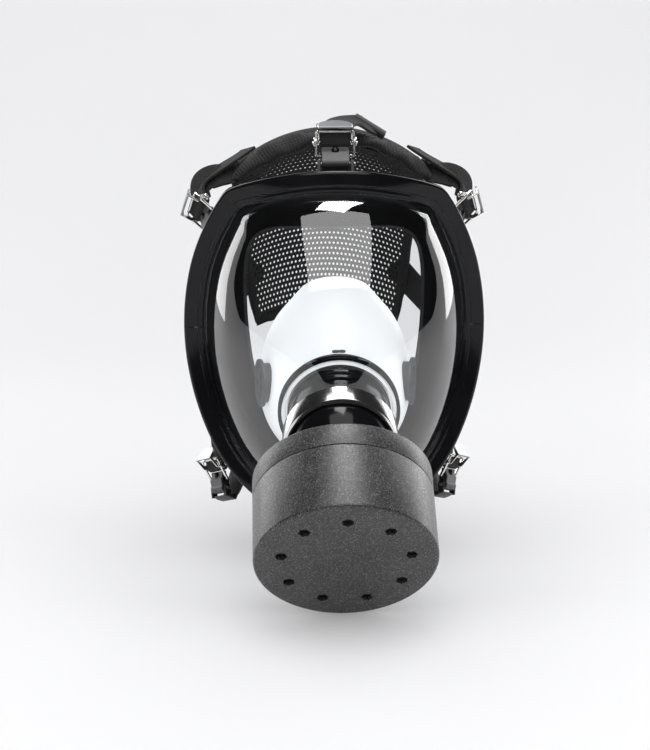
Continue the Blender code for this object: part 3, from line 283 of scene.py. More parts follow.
def webbing_material(name, light, rib_pitch, zigzags):
    """Woven tape, UV in millimetres: ribs across the run that zigzag so many times a mm."""
    material, tree, shader = new_material(name)
    link = tree.links.new
    yarn_pitch, zigzag_depth = 0.62, 1.6
    split = node(tree, "ShaderNodeSeparateXYZ")
    link(coords(tree, "UV"), split.inputs[0])
    x, y = split.outputs[0], split.outputs[1]
    phase = maths(tree, "FRACT", maths(tree, "MULTIPLY", x, zigzags))
    zigzag = maths(tree, "ABSOLUTE", maths(tree, "SUBTRACT", phase, 0.5))
    shifted = maths(tree, "ADD", y, maths(tree, "MULTIPLY", zigzag, zigzag_depth))
    ribs = maths(tree, "SINE", maths(tree, "MULTIPLY", shifted, 2 * math.pi / rib_pitch))
    yarn = maths(tree, "SINE", maths(tree, "MULTIPLY", x, 2 * math.pi / yarn_pitch))
    weave = maths(tree, "ADD", maths(tree, "MULTIPLY", ribs, 0.7),
                  maths(tree, "MULTIPLY", yarn, 0.3))
    fuzz = noise(tree, coords(tree), scale=1500, detail=4)
    shade_by = maths(tree, "ADD", maths(tree, "MULTIPLY", weave, 0.25), fuzz)
    link(ramp(tree, shade_by, (0.3, (0.003, 0.003, 0.003)), (0.9, light)),
         shader.inputs["Base Color"])
    woven = bump(tree, weave, strength=0.9, distance=0.00028)
    link(bump(tree, fuzz, strength=0.6, distance=0.00025, under=woven), shader.inputs["Normal"])
    set_inputs(shader, {"Roughness": 0.86, "Sheen Weight": 0.06, "Sheen Roughness": 0.5})
    return material


SILICONE = silicone_material()
LENS = lens_material()
NYLON = speckled_material()
WEBBING = webbing_material("webbing", light=(0.017, 0.017, 0.017), rib_pitch=1.25, zigzags=0.42)
HEM = webbing_material("hem", light=(0.019, 0.019, 0.019), rib_pitch=2.0, zigzags=0.294)
NET = plain("net", dark=(0.006, 0.006, 0.006), light=(0.020, 0.020, 0.020),
            rough=(0.75, 0.95), grain=1500, depth=0.0002)


# ------------------------------------------------------------------ outlines and curves
def on_circle(radius, angle):
    return radius * math.cos(angle), radius * math.sin(angle)


def rectangle(low_x, high_x, half):
    return [(low_x, -half), (high_x, -half), (high_x, half), (low_x, half)]


def fillet(points, radius, steps=3, closed=True):
    """A polygon with its corners rounded; radius is one number or one a corner."""
    count = len(points)
    rounded = []
    for i, point in enumerate(points):
        reach = radius[i] if isinstance(radius, (list, tuple)) else radius
        if reach <= 0 or (not closed and i in (0, count - 1)):
            rounded.append(tuple(point))
            continue
        corner = Vector(point)
        before = Vector(points[i - 1]) - corner
        after = Vector(points[(i + 1) % count]) - corner
        reach = min(reach, before.length * 0.45, after.length * 0.45)
        start = corner + before.normalized() * reach
        end = corner + after.normalized() * reach
        for k in range(steps + 1):
            t = k / steps
            rounded.append(tuple(start * (1 - t) ** 2 + corner * 2 * t * (1 - t) + end * t * t))
    return rounded


def inset(outline, distance):
    """A closed outline moved inwards, or outwards for a negative distance."""
    count = len(outline)
    area = sum(outline[i - 1][0] * outline[i][1] - outline[i][0] * outline[i - 1][1]
               for i in range(count))
    sign = 1 if area > 0 else -1
    moved = []
    for i, point in enumerate(outline):
        tangent = Vector(outline[(i + 1) % count]) - Vector(outline[i - 1])
        tangent = tangent.normalized() if tangent.length else Vector((1, 0))
        moved.append(Vector(point) + Vector((-tangent.y, tangent.x)) * sign * distance)
    return moved


def catmull_rom(p0, p1, p2, p3, t):
    return 0.5 * ((2 * p1) + (p2 - p0) * t + (2 * p0 - 5 * p1 + 4 * p2 - p3) * t * t
                  + (3 * p1 - p0 - 3 * p2 + p3) * t ** 3)


def curve_through(stations, steps):
    """Points on an open smooth curve through the stations, so many steps to a span."""
    stations = [Vector(station) for station in stations]
    last = len(stations) - 1
    curve = []
    for i in range(last):
        ends = (stations[max(i - 1, 0)], stations[i], stations[i + 1], stations[min(i + 2, last)])
        curve += [catmull_rom(*ends, s / steps) for s in range(steps)]
    curve.append(stations[-1])
    return curve


def mirrored_loop(half, count):
    """Evenly spaced points round a smooth loop, from its +x half of (x, z) points."""
    points = list(half) + [(-x, z) for x, z in reversed(half[1:-1])]
    dense = []
    for i in range(len(points)):
        ends = [Vector(points[(i + k - 1) % len(points)]) for k in range(4)]
        dense += [catmull_rom(*ends, s / 16) for s in range(16)]
    dense.append(Vector(points[0]))
    path = np.array([tuple(point) for point in dense])
    steps = np.linalg.norm(np.diff(path, axis=0), axis=1)
    run = np.concatenate([[0], np.cumsum(steps)])
    return [Vector((float(np.interp(at, run, path[:, 0])), float(np.interp(at, run, path[:, 1]))))
            for at in run[-1] * np.arange(count) / count]


def square_to(vector, axis):
    """The unit vector square to a unit axis, on the side of vector."""
    return (vector - axis * vector.dot(axis)).normalized()


def along_path(path, facings):
    """Each point with its sideways and upward directions and the length run so far."""
    run = 0.0
    for k, point in enumerate(path):
        ahead = (path[min(k + 1, len(path) - 1)] - path[max(k - 1, 0)]).normalized()
        up = square_to(facings[k], ahead)
        if k:
            run += (point - path[k - 1]).length
        yield point, up.cross(ahead), up, run


# ------------------------------------------------------------------ mesh helpers
def shade(mesh, angle):
    mesh.shade_smooth()
    mesh.set_sharp_from_angle(angle=math.radians(angle))


def mesh_piece(name, points, faces, material, smooth=40, uv=None, place=None):
    """An object from points in millimetres, in the drawing frame or in the frame place."""
    if place is not None:
        points = [place @ Vector(point) for point in points]
    mesh = bpy.data.meshes.new(name)
    mesh.from_pydata([world(point) for point in points], [], faces)
    work = bmesh.new()
    work.from_mesh(mesh)
    bmesh.ops.recalc_face_normals(work, faces=work.faces)
    work.to_mesh(mesh)
    work.free()
    if uv is not None:
        layer = mesh.uv_layers.new(name="UVMap")
        for loop in mesh.loops:
            layer.data[loop.index].uv = uv[loop.vertex_index]
    mesh.materials.append(material)
    shade(mesh, smooth)
    piece = bpy.data.objects.new(name, mesh)
    bpy.context.scene.collection.objects.link(piece)
    return piece


def finish(piece, body, slot, *replaced):
    """Fixes a piece to its body and hides the CAD nodes it replaces; the slot argument is not used.
    """
    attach(piece, body)
    if replaced:
        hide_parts(*replaced)


def skin(rows, closed_rows=False, cap=False):
    """Points and faces over rows that are each a closed ring."""
    around, along = len(rows[0]), len(rows)
    faces = []
    for k in range(along if closed_rows else along - 1):
        this, following = k * around, (k + 1) % along * around
        for i in range(around):
            j = (i + 1) % around
            faces.append((this + i, this + j, following + j, following + i))
    if cap:
        faces.append(tuple(reversed(range(around))))
        faces.append(tuple((along - 1) * around + i for i in range(around)))
    return [point for row in rows for point in row], faces


def lathe(name, profile, place, material, steps=128, closed=False):
    """A piece turned about z from (radius, height) points, open or a closed ring."""
    rows, points, faces = [], [], []
    for radius, height in profile:
        first = len(points)
        if radius < 1e-6:
            rows.append([first] * steps)
            points.append((0, 0, height))
        else:
            rows.append([first + i for i in range(steps)])
            points += [(*on_circle(radius, 2 * math.pi * i / steps), height)
                       for i in range(steps)]
    for k in range(len(rows) if closed else len(rows) - 1):
        this, following = rows[k], rows[(k + 1) % len(rows)]
        for i in range(steps):
            j = (i + 1) % steps
            face = list(dict.fromkeys((this[i], this[j], following[j], following[i])))
            if len(face) > 2:
                faces.append(face)
    return mesh_piece(name, points, faces, material, smooth=35, place=place)


def prism(name, outline, low, high, place, material, bevel):
    """An (x, z) outline stretched from y low to y high, with softened long edges."""
    levels = ((low, bevel), (low + bevel, 0), (high - bevel, 0), (high, bevel))
    rows = [[(x, y, z) for x, z in inset(outline, depth)] for y, depth in levels]
    return mesh_piece(name, *skin(rows, cap=True), material, smooth=35, place=place)


def drum(radius, low, high, place, steps=48):
    """A solid cylinder to cut with."""
    profile = [(0, low), (radius, low), (radius, high), (0, high)]
    return lathe("tool", profile, place, GLOSS, steps=steps)


def scrap(piece):
    mesh = piece.data
    bpy.data.objects.remove(piece)
    bpy.data.meshes.remove(mesh)


def thicken(piece, thickness, offset=0.0):
    shell = piece.modifiers.new("thickness", "SOLIDIFY")
    shell.thickness = thickness * MM
    shell.offset = offset


def bake(piece):
    """Applies the modifiers to the mesh."""
    bpy.context.view_layer.update()
    graph = bpy.context.evaluated_depsgraph_get()
    mesh = bpy.data.meshes.new_from_object(piece.evaluated_get(graph))
    old = piece.data
    piece.modifiers.clear()
    piece.data = mesh
    bpy.data.meshes.remove(old)
    shade(mesh, 35)


def carve(piece, tools):
    """Cuts the tools out of a piece and throws them away."""
    for tool in tools:
        cut = piece.modifiers.new("cut", "BOOLEAN")
        cut.operation = "DIFFERENCE"
        cut.object = tool
        cut.solver = "EXACT"
    bake(piece)
    for tool in tools:
        scrap(tool)


def join(parts, name):
    """One object from parts already in the world; the parts are thrown away."""
    work = bmesh.new()
    materials = []
    for part in parts:
        own = part.data.materials
        materials += [material for material in own if material not in materials]
        start = len(work.faces)
        work.from_mesh(part.data)
        work.faces.ensure_lookup_table()
        for face in work.faces[start:]:
            # an index past the last slot counts as the last
            face.material_index = materials.index(own[min(face.material_index, len(own) - 1)])
    mesh = bpy.data.meshes.new(name)
    work.to_mesh(mesh)
    work.free()
    for material in materials:
        mesh.materials.append(material)
    for part in parts:
        scrap(part)
    shade(mesh, 35)
    piece = bpy.data.objects.new(name, mesh)
    bpy.context.scene.collection.objects.link(piece)
    return piece


# ------------------------------------------------------------------ local frames
def axes(origin, x, y, z):
    matrix = Matrix((x, y, z)).transposed().to_4x4()
    matrix.translation = Vector(origin)
    return matrix


def shift(x, y, z):
    return Matrix.Translation((x, y, z))


ACROSS = Vector((1, 0, 0))
AXIS_TO_Y = Matrix.Rotation(math.pi / 2, 4, "X")  # lays a turned piece along y

# The port: z into the facepiece along the filter's axis, x across, y square to both.
PORT_Z = -Vector(JOINTS["filter_unscrew"]["axis"]).normalized()
PORT_Y = Vector((0, PORT_Z.z, -PORT_Z.y))
PORT_ORIGIN = Vector(JOINTS["filter_unscrew"]["pos_m"]) * 1000 - ZERO
EXHALE_OFFSET = 40.5
PORT = axes(PORT_ORIGIN, ACROSS, PORT_Y, PORT_Z)
EXHALE = axes(PORT_ORIGIN + PORT_Y * EXHALE_OFFSET, ACROSS, PORT_Y, PORT_Z)

# The bell behind the port tips up towards the wearer.
BELL_CENTRE = Vector((0.0, -20.9, -41.5))
BELL_PITCH = math.radians(13.8)
BELL_BACK = Vector((0, math.cos(BELL_PITCH), math.sin(BELL_PITCH)))
BELL_UP = Vector((0, -BELL_BACK.z, BELL_BACK.y))
BELL = axes(BELL_CENTRE, ACROSS, -BELL_UP, BELL_BACK)

# ------------------------------------------------------------------ rim, in two halves
# (x, z) down the +x side
RIM_OUTLINE = [
    (0, RIM_TOP), (17, 99.2), (34, 96.6), (50, 92.8), (60.5, 89.4), (66.5, 86.2), (71.5, 79.5),
    (77.5, 69), (84, 55), (89, 40), (92.5, 22), (94, 3), (93.2, -16), (90.3, -34),
    (86, -50), (80.3, -65), (72.8, -79.5), (63, -92.5), (51, -103.5), (36.5, -112),
    (19, -118), (0, -120),
]
# section of the rim: (distance in from the outline, distance forward)
RIM_PROFILE = [
    (0, -8), (0, 2.4), (1.2, 3.6), (8.4, 4.4), (9.4, 3.4), (11.2, 3.9), (13.6, 3.0),
    (13.6, 0.3), (6.3, 0.3), (6.3, -8),
]
RIM_CORNERS = [0.6, 0.9, 0.8, 0.5, 0.4, 0.4, 0.5, 0.15, 0.15, 0.5]
EASE = 6
RIM_STEPS = 42 * EASE
RIM = mirrored_loop(RIM_OUTLINE, RIM_STEPS)  # vectors of (x, z)


@cache
def rim_inward(distance):
    """The rim moved inwards along normals that are averaged over neighbouring points."""
    points = np.array([tuple(point) for point in RIM])
    tangents = np.roll(points, -1, 0) - np.roll(points, 1, 0)
    tangents /= np.linalg.norm(tangents, axis=1)[:, None]
    normals = np.stack([tangents[:, 1], -tangents[:, 0]], 1)
    eased = sum(np.roll(normals, -k, 0) * (3 * EASE - abs(k))
                for k in range(-2 * EASE, 2 * EASE + 1))
    eased /= np.linalg.norm(eased, axis=1)[:, None]
    return [Vector(point) for point in points + eased * distance]


def rim_depth(x, z):
    """How far back the rim lies: it wraps round the face at the sides and below."""
    return 0.00475 * x * x + (0.0005 * z * z if z < 0 else 0.0)


def rim_point(i, distance, forward):
    i %= RIM_STEPS
    moved = rim_inward(distance)[i]
    return Vector((moved.x, rim_depth(*RIM[i]) - forward, moved.y))


def side_step(sign):
    """The rim step nearest z = 0 on the side of sign."""
    return min(range(RIM_STEPS),
               key=lambda i: abs(RIM[i].y) + (1000 if RIM[i].x * sign < 0 else 0))


def rim_half(name, first, last, up):
    """Half the rim; the halves stop short of z = 0, so that a fine seam shows."""
    end_gap, inner_gap = 0.2, 0.5
    profile = fillet(RIM_PROFILE, RIM_CORNERS)
    rings = []
    for i in range(first, last + 1):
        ring = [rim_point(i, distance, forward) for distance, forward in profile]
        for point in ring:
            if i in (first, last):
                point.z = up * end_gap
            elif point.z * up < inner_gap:
                point.z = up * inner_gap
        rings.append(ring)
    half = mesh_piece(name + "_shell", *skin(rings, cap=True), GLOSS, smooth=30)
    finish(half, "facepiece", "gloss_black", name)


right_side, left_side = side_step(1), side_step(-1)
rim_half("rim_upper", left_side, right_side + RIM_STEPS, 1)
rim_half("rim_lower", right_side, left_side, -1)

# ------------------------------------------------------------------ visor
CROWN = Vector((0.0, -50.0, -38.0))  # the foremost point of the visor
LENS_THICKNESS = 2.2
LENS_EDGE = rim_inward(13.9)
LENS_FLANGE = rim_inward(7.2)
LENS_SET_BACK = 0.4
# rings of the sheet, as shares of the way from the crown to the edge
LENS_SHARES = [
    0.05, 0.12, 0.2, 0.28, 0.36, 0.44, 0.52, 0.6, 0.67, 0.74,
    0.8, 0.85, 0.89, 0.92, 0.945, 0.965, 0.98, 0.99, 0.996, 1.0,
]
CLAMP_INNER, CLAMP_OUTER = 31.4, 34.2


def dished(edge_y, share):
    """Depth of the sheet at a share of the way from the crown to an edge at edge_y."""
    return CROWN.y + (edge_y - CROWN.y) * (1 - (1 - share * share) ** 0.6)


def build_visor():
    depths = [rim_depth(*point) + LENS_SET_BACK for point in RIM]
    points, faces = [CROWN.copy()], []
    for share in LENS_SHARES:
        points += [Vector((edge.x * share, dished(depth, share),
                           CROWN.z + (edge.y - CROWN.z) * share))
                   for edge, depth in zip(LENS_EDGE, depths)]
    points += [Vector((edge.x, depth, edge.y)) for edge, depth in zip(LENS_FLANGE, depths)]
    for i in range(RIM_STEPS):
        faces.append((0, 1 + i, 1 + (i + 1) % RIM_STEPS))
    for k in range(len(LENS_SHARES)):
        this, following = 1 + k * RIM_STEPS, 1 + (k + 1) * RIM_STEPS
        for i in range(RIM_STEPS):
            j = (i + 1) % RIM_STEPS
            faces.append((this + i, following + i, following + j, this + j))
    visor = mesh_piece("visor", points, faces, LENS, smooth=80)
    # the outer face stays where it is and the sheet grows towards the wearer
    faces_front = visor.data.polygons[0].normal.y < 0
    thicken(visor, LENS_THICKNESS, offset=-1.0 if faces_front else 1.0)
    carve(visor, [drum(CLAMP_INNER, -25, 85, PORT, 128), drum(14.0, -8, 52, EXHALE, 96)])
    visor.data.set_sharp_from_angle(angle=math.radians(60))
    finish(visor, "facepiece", "clear_visor", "visor_lens")


build_visor()

# ------------------------------------------------------------------ face blank with its seal
# (x, z) down the +x side
SEAL = mirrored_loop([
    (0, 84), (22, 83), (42, 77), (57, 66), (66, 48), (70.5, 25), (71, 0), (69, -24),
    (63.5, -46), (55, -66), (42, -82), (24, -92), (0, -95),
], RIM_STEPS)
OPENING = mirrored_loop([
    (0, 63), (22, 63), (41, 61), (51, 53), (55, 38), (55.5, 14), (54, -8), (51, -28),
    (46, -46), (38, -61), (26, -71), (12, -76), (0, -77),
], RIM_STEPS)
SEAL_Y, OPENING_Y = 33, 25  # depths on the symmetry plane
BLANK_THICKNESS = 2.4


def on_face(point, front):
    """An (x, z) point laid on the curve of the face."""
    x, z = point
    return Vector((x, front + 0.0066 * x * x + (0.0022 * z * z if z < 0 else 0.0), z))


def build_face_blank():
    """A skin from under the rim back to the seal, and in to the opening for the face."""
    columns = []
    for i in range(RIM_STEPS):
        behind_rim = rim_point(i, 11.2, -14.5)
        seal = on_face(SEAL[i], SEAL_Y)
        opening = on_face(OPENING[i], OPENING_Y)
        middle = behind_rim.lerp(seal, 0.55)
        middle = middle + Vector((middle.x, 0, middle.z)).normalized() * 2.0
        lip = seal.lerp(opening, 0.5) + Vector((0, 3.0, 0))
        head = [rim_point(i, 13.4, -4.6), rim_point(i, 9.4, -4.6)]
        stations = [rim_point(i, 9.2, -9.4), behind_rim, middle, seal, lip, opening]
        columns.append(head + curve_through(stations, 5))
    blank = mesh_piece("face_blank_skin", *skin(list(zip(*columns))), RUBBER, smooth=80)
    thicken(blank, BLANK_THICKNESS)
    bake(blank)
    finish(blank, "facepiece", "black_rubber", "face_blank")


build_face_blank()

# ------------------------------------------------------------------ nose cup
# rear edge: (x, z) down the +x side
CUP_EDGE = mirrored_loop([
    (0, 33), (9, 32), (18, 28), (27, 18), (35.5, 7), (42, -7), (45, -21), (46.5, -36), (45, -52),
    (39, -66), (28, -78), (14, -85), (0, -87),
], 140)
CUP_MIDDLE_Z = -38
CUP_NECK_RADIUS = 33.0
CUP_THICKNESS = 1.6


def valve_place(sign):
    """Frame of a check valve in the side of the cup."""
    turn = Euler((0, sign * math.radians(90), sign * math.radians(-12)))
    return shift(sign * 44.2, 14.5, -31.0) @ turn.to_matrix().to_4x4()


VALVES = {"right": valve_place(1), "left": valve_place(-1)}


def build_nose_cup():
    """A bowl from the bell back to the face, with a round hole for each check valve."""
    columns = []
    for x, z in CUP_EDGE:
        angle = math.atan2(x, z - CUP_MIDDLE_Z)
        around = ACROSS * math.sin(angle) + BELL_UP * math.cos(angle)
        front = BELL_CENTRE + around * CUP_NECK_RADIUS
        neck = front + BELL_BACK * 5.0
        rear_y = 21 + 0.009 * x * x + (0.0015 * (z + 20) ** 2 if z < -20 else 0)
        rear = Vector((x, rear_y, z))
        out = Vector((rear.x, 0, rear.z - CUP_MIDDLE_Z)).normalized()
        columns.append(curve_through([
            front - BELL_BACK * 3.0, neck, neck.lerp(rear, 0.4) + out * 2.6,
            neck.lerp(rear, 0.78) + out * 2.0, rear,
        ], 6))
    cup = mesh_piece("nose_cup_shell", *skin(list(zip(*columns))), SILICONE, smooth=80)
    thicken(cup, CUP_THICKNESS)
    carve(cup, [drum(12.6, -12, 12, place, 72) for place in VALVES.values()])
    cup.data.set_sharp_from_angle(angle=math.radians(50))
    finish(cup, "facepiece", "white_silicone", "nose_cup")
    return cup


def waisted_point(angle):
    """A point of a flat oval that is pinched at its middle."""
    half_length, half_height, waist = 4.0, 1.35, 1.5
    x = half_length * math.cos(angle)
    z = half_height * math.sin(angle) * (1.0 - 0.32 * math.exp(-(x / waist) ** 2))
    return math.copysign(min(abs(x) * 1.12, half_length), x), z


def build_cup_slot_shade_pad(cup):
    """A small waisted dark pad laid on the front of the cup's surface: painted shade that stands in
    for the shaded opening of the slot.
    """
    _, where, out, _ = cup.ray_cast(world((0, -60.0, -5.0)), Vector((0, 1, 0)))
    where = where / MM - ZERO
    out = out if out.y < 0 else -out
    up = square_to(Vector((0, 0, 1)), out)
    outline = [waisted_point(2 * math.pi * k / 40) for k in range(40)]
    # (height, scale) of each level
    rows = [[(x * scale, z * scale, height) for x, z in outline]
            for height, scale in ((-0.5, 0.96), (0.22, 1.0), (0.42, 0.9))]
    # painted shade: this dark valve-rubber pad stands in for the shade in the slot's opening
    pad = mesh_piece("nose_cup_slot_painted_shade", *skin(rows, cap=True), VALVE,
                     place=axes(where, up.cross(out), up, out))
    finish(pad, "facepiece", "valve_rubber")


build_cup_slot_shade_pad(build_nose_cup())

# check valve seats: a flanged disc with four round ports
SEAT_PROFILE = [(0, 1.6), (9.6, 1.6), (9.6, 3.4), (14.8, 3.4), (14.8, 1.4), (12.2, 1.4),
                (12.2, -3.4), (0, -3.4)]
for side, place in VALVES.items():
    seat = lathe(f"check_seat_{side}", fillet(SEAT_PROFILE, 0.35, closed=False), place, VALVE,
                 steps=96)
    carve(seat, [drum(3.3, -9, 9, place @ shift(*on_circle(6, math.pi / 4 + math.pi / 2 * k), 0), 32)
                 for k in range(4)])
    finish(seat, "facepiece", "valve_rubber", f"check_valve_seat_{side}")

cup_ring = lathe("cup_ring", fillet([(34.4, 3.2), (36.6, 3.2), (36.6, -2.2), (34.4, -2.2)], 0.5),
                 BELL, GLOSS, closed=True)
finish(cup_ring, "facepiece", "gloss_black", "nose_cup_ring")

# ------------------------------------------------------------------ port housing
# name: frame, steps round, steps in a corner, (radius, height) points, their corner radii
HOUSINGS = {
    "port_dome": (PORT, 160, 5, [
        (0, 50.0), (30.6, 50.0), (30.6, 24.0), (29.5, 15.5), (27.6, 8.0), (25.9, 2.7),
        (23.3, 2.7), (23.3, 21.6), (18.0, 21.6), (18.0, 32.6), (0, 32.6),
    ], [0, 0.5, 6.0, 5.0, 5.0, 0.7, 0.3, 0.3, 0.3, 0.3, 0]),
    "port_bell": (BELL, 160, 3, [
        (0, -13.0), (24.5, -13.0), (25.5, -10.5), (27.6, -10.3), (28.2, -7.8), (29.8, -7.4),
        (30.4, -5.0), (31.0, -4.6), (31.0, 7.0), (28.4, 7.0), (28.4, -1.0), (0, -1.0),
    ], [0, 0.8, 0.6, 0.6, 0.6, 0.6, 0.4, 0.4, 0.5, 0.4, 0.4, 0]),
    "exhale_housing": (EXHALE, 96, 3, [
        (0, 33.0), (13.4, 33.0), (13.4, 5.0), (11.3, 5.0), (11.3, 18.3), (9.4, 18.3),
        (9.4, 30.0), (0, 30.0),
    ], [0, 0.4, 0.4, 0.3, 0.3, 0.3, 0.3, 0]),
}
for name, (place, steps, corner_steps, profile, corners) in HOUSINGS.items():
    housing = lathe(name, fillet(profile, corners, corner_steps, closed=False), place, GLOSS,
                    steps=steps)
    finish(housing, "facepiece", "gloss_black", "connector_body")


# ------------------------------------------------------------------ clamp ring
def polar_edge():
    """The visor's edge as sorted angles and radii about the crown."""
    angles = np.array([math.atan2(edge.y - CROWN.z, edge.x) for edge in LENS_EDGE])
    radii = np.array([math.hypot(edge.x, edge.y - CROWN.z) for edge in LENS_EDGE])
    order = np.argsort(angles)
    return angles[order], radii[order]


EDGE_ANGLES, EDGE_RADII = polar_edge()


def lens_depth(x, z):
    """Approximate depth of the visor's outer face."""
    radius = math.hypot(x, z - CROWN.z)
    angle = math.atan2(z - CROWN.z, x)
    reach = float(np.interp(angle, EDGE_ANGLES, EDGE_RADII, period=2 * math.pi))
    edge_x, edge_z = math.cos(angle) * reach, CROWN.z + math.sin(angle) * reach
    return dished(rim_depth(edge_x * 1.06, edge_z) + 0.3, min(radius / reach, 1.0))


def ring_foot(x, y):
    """Height in the port frame, just short of where a line along its z meets the visor."""
    low, high, clearance = -30.0, 75.0, 0.35
    for _ in range(32):
        middle = (low + high) / 2
        point = PORT @ Vector((x, y, middle))
        if point.y > lens_depth(point.x, point.z):
            high = middle
        else:
            low = middle
    return low - clearance


def build_clamp_ring():
    """A band that stands on the visor, its free edge rolled and cut at a slant."""
    steps = 180
    columns = []
    for i in range(steps):
        angle = 2 * math.pi * i / steps
        cos, sin = math.cos(angle), math.sin(angle)
        foot_out = ring_foot(CLAMP_OUTER * cos, CLAMP_OUTER * sin)
        foot_in = ring_foot(CLAMP_INNER * cos, CLAMP_INNER * sin)
        top = 20.5 - 10.5 * sin
        top_out, top_in = min(top + 1.0, foot_out - 1.6), min(top, foot_in - 1.6)
        # (radius, height)
        section = [
            (CLAMP_OUTER, foot_out), (CLAMP_OUTER, top_out + 0.8),
            (CLAMP_OUTER - 0.12, top_out + 0.3), (CLAMP_OUTER - 0.5, top_out - 0.05),
            (CLAMP_OUTER - 1.2, (top_out + top_in) / 2 - 0.5), (CLAMP_INNER + 0.8, top_in - 0.25),
            (CLAMP_INNER + 0.2, top_in - 0.05), (CLAMP_INNER, top_in + 0.25),
            (CLAMP_INNER, foot_in),
        ]
        columns.append([(radius * cos, radius * sin, height) for radius, height in section])
    ring = mesh_piece("clamp_ring", *skin(list(zip(*columns)), closed_rows=True), STEEL, place=PORT)
    carve(ring, [drum(14.3, -8, 52, EXHALE, 96)])
    finish(ring, "facepiece", "polished_steel", "port_clamp_ring")


build_clamp_ring()


# ------------------------------------------------------------------ exhalation cover
def vent_tool(turn):
    """A long bar through the axis that cuts two opposite slots."""
    points = [(x, y, z) for z in (3.4, 7.4) for x, y in rectangle(-20, 20, 1.6)]
    faces = [(0, 1, 2, 3), (4, 5, 6, 7), (0, 1, 5, 4), (1, 2, 6, 5), (2, 3, 7, 6), (3, 0, 4, 7)]
    return mesh_piece("tool", points, faces, GLOSS,
                      place=EXHALE @ Matrix.Rotation(turn, 4, "Z"))


cover_profile = fillet([
    (0, 3.2), (9.6, 3.2), (9.6, 9.0), (10.8, 9.0), (10.8, 4.6), (13.4, 4.6), (13.4, 2.2),
    (12.6, 1.4), (0, 1.4),
], [0, 0.2, 0.2, 0.2, 0.2, 0.2, 0.6, 0.4, 0], closed=False)
cover = lathe("exhale_cover", cover_profile, EXHALE, GLOSS, steps=96)
carve(cover, [vent_tool(math.pi * k / 3) for k in range(3)])
finish(cover, "facepiece", "gloss_black", "exhalation_valve_cover")

# ------------------------------------------------------------------ filter canister
CAN_RADIUS = 52.0
CAN_INNER = 49.5
CAN_HOLES = 9

can_profile = fillet([
    (CAN_INNER, -15.35), (CAN_RADIUS, -15.35), (CAN_RADIUS, -56.8), (50.8, -58.0), (0, -58.0),
    (0, -55.5), (CAN_INNER, -55.5),
], [0.1, 0.45, 0.9, 0.7, 0, 0, 0.4], 4)
can = lathe("canister_shell", can_profile, PORT, NYLON, steps=200, closed=True)
holes = []
for k in range(CAN_HOLES):  # hexagonal holes in the front, the first at -y of the port frame
    angle = -math.pi / 2 + 2 * math.pi * k / CAN_HOLES
    place = PORT @ shift(*on_circle(36.8, angle), 0) @ Matrix.Rotation(angle, 4, "Z")
    holes.append(drum(3.55, -64, -50, place, 6))
carve(can, holes)
finish(can, "filter", "speckled_nylon", "canister_body")

cap_profile = fillet([
    (18.2, 0), (51.0, 0), (CAN_RADIUS, -1.0), (CAN_RADIUS, -15.0), (49.2, -15.0), (49.2, -21.0),
    (47.2, -21.0), (47.2, -2.5), (18.2, -2.5),
], [0.4, 0.6, 0.5, 0.35, 0.1, 0.2, 0.2, 0.3, 0.3])
cap = lathe("canister_cap", cap_profile, PORT, NYLON, steps=200, closed=True)
finish(cap, "filter", "speckled_nylon", "canister_lid")

gasket = lathe("port_gasket", fillet([(20.4, 2.5), (24.6, 2.5), (24.6, 0.4), (20.4, 0.4)], 0.5),
               PORT, RUBBER, closed=True)
finish(gasket, "filter_seal", "black_rubber", "nozzle_gasket")

# ------------------------------------------------------------------ anchors
# Each anchor frame has its origin on the roller bar, x along the strap, y across it and z out
# from the head. The values are for +x: the bar's centre and directions, where the lug leaves
# the face blank, and how the strap runs. A strap ends at (alpha, beta) degrees on the head.
ANCHORS = {
    "top": dict(
        centre=(0, TOP_BAR_Y, 102.7), along=(0, 0.587, 0.81), out=(0, -0.81, 0.587),
        root=(0, 11.6, 90.6), root_across=(1, 0, 0), root_normal=(0, -0.98, 0.2),
        root_half=15.0, strap_end=(80.0, 0.0), bulge=-3.0, lead=0.20, reach=22.0),
    "temple": dict(
        centre=(75.8, 49.0, 61.8), along=(0.427, 0.552, 0.716), out=(0.873, -0.466, -0.164),
        root=(71.5, 46.5, 54.0), root_across=(0.28, 0.60, -0.74), root_normal=(0.9, -0.25, 0.2),
        root_half=11.0, strap_end=(82.0, 31.0), bulge=0.0, lead=0.38, reach=18.0),
    "cheek": dict(
        centre=(73.5, 57.0, -109.5), along=(0.10, 0.30, 0.95), out=(0.88, -0.46, 0.05),
        root=(55.4, 46.0, -81.2), root_across=(0.33, 0.90, 0.2), root_normal=(0.84, -0.30, 0.40),
        root_half=11.0, strap_end=(176.0, 28.0), bulge=5.0, lead=0.32, reach=34.0),
}
LUG_HALF, LUG_HALF_THICK = 10.4, 1.6
BAR_RADIUS, BAR_HALF = 1.15, 12
TAB_HALF = 8.3
HINGE_X = 5.5                     # where the buckle frame passes through the tab
BUCKLE_TILT = math.radians(23)
SHAFT_X, SHAFT_Z = 14.6, 0.4      # the lever's shaft
WEB_WIDTH, WEB_THICK = 18.6, 1.8

# the head is an ellipsoid
HEAD = Vector((0.0, 98.0, 11.0))
HEAD_RADII = (98.0, 96.0, 108.0)


def head_point(alpha, beta, lift=0.0):
    """A point on the head: alpha from the front up over the crown, beta out to +x."""
    across, deep, tall = (radius + lift for radius in HEAD_RADII)
    return HEAD + Vector((
        across * math.sin(beta),
        -deep * math.cos(beta) * math.cos(alpha),
        tall * math.cos(beta) * math.sin(alpha),
    ))


def head_normal(point):
    offset = point - HEAD
    return Vector([offset[i] / HEAD_RADII[i] ** 2 for i in range(3)]).normalized()


def mirrored(vector, sign):
    return Vector((vector[0] * sign, vector[1], vector[2]))


def towards(vector, way):
    """The unit vector, turned over if it points away from way."""
    return vector.normalized() * (1 if vector.dot(way) > 0 else -1)


def both_sides(inner, outer):
    return (inner, outer), (-outer, -inner)


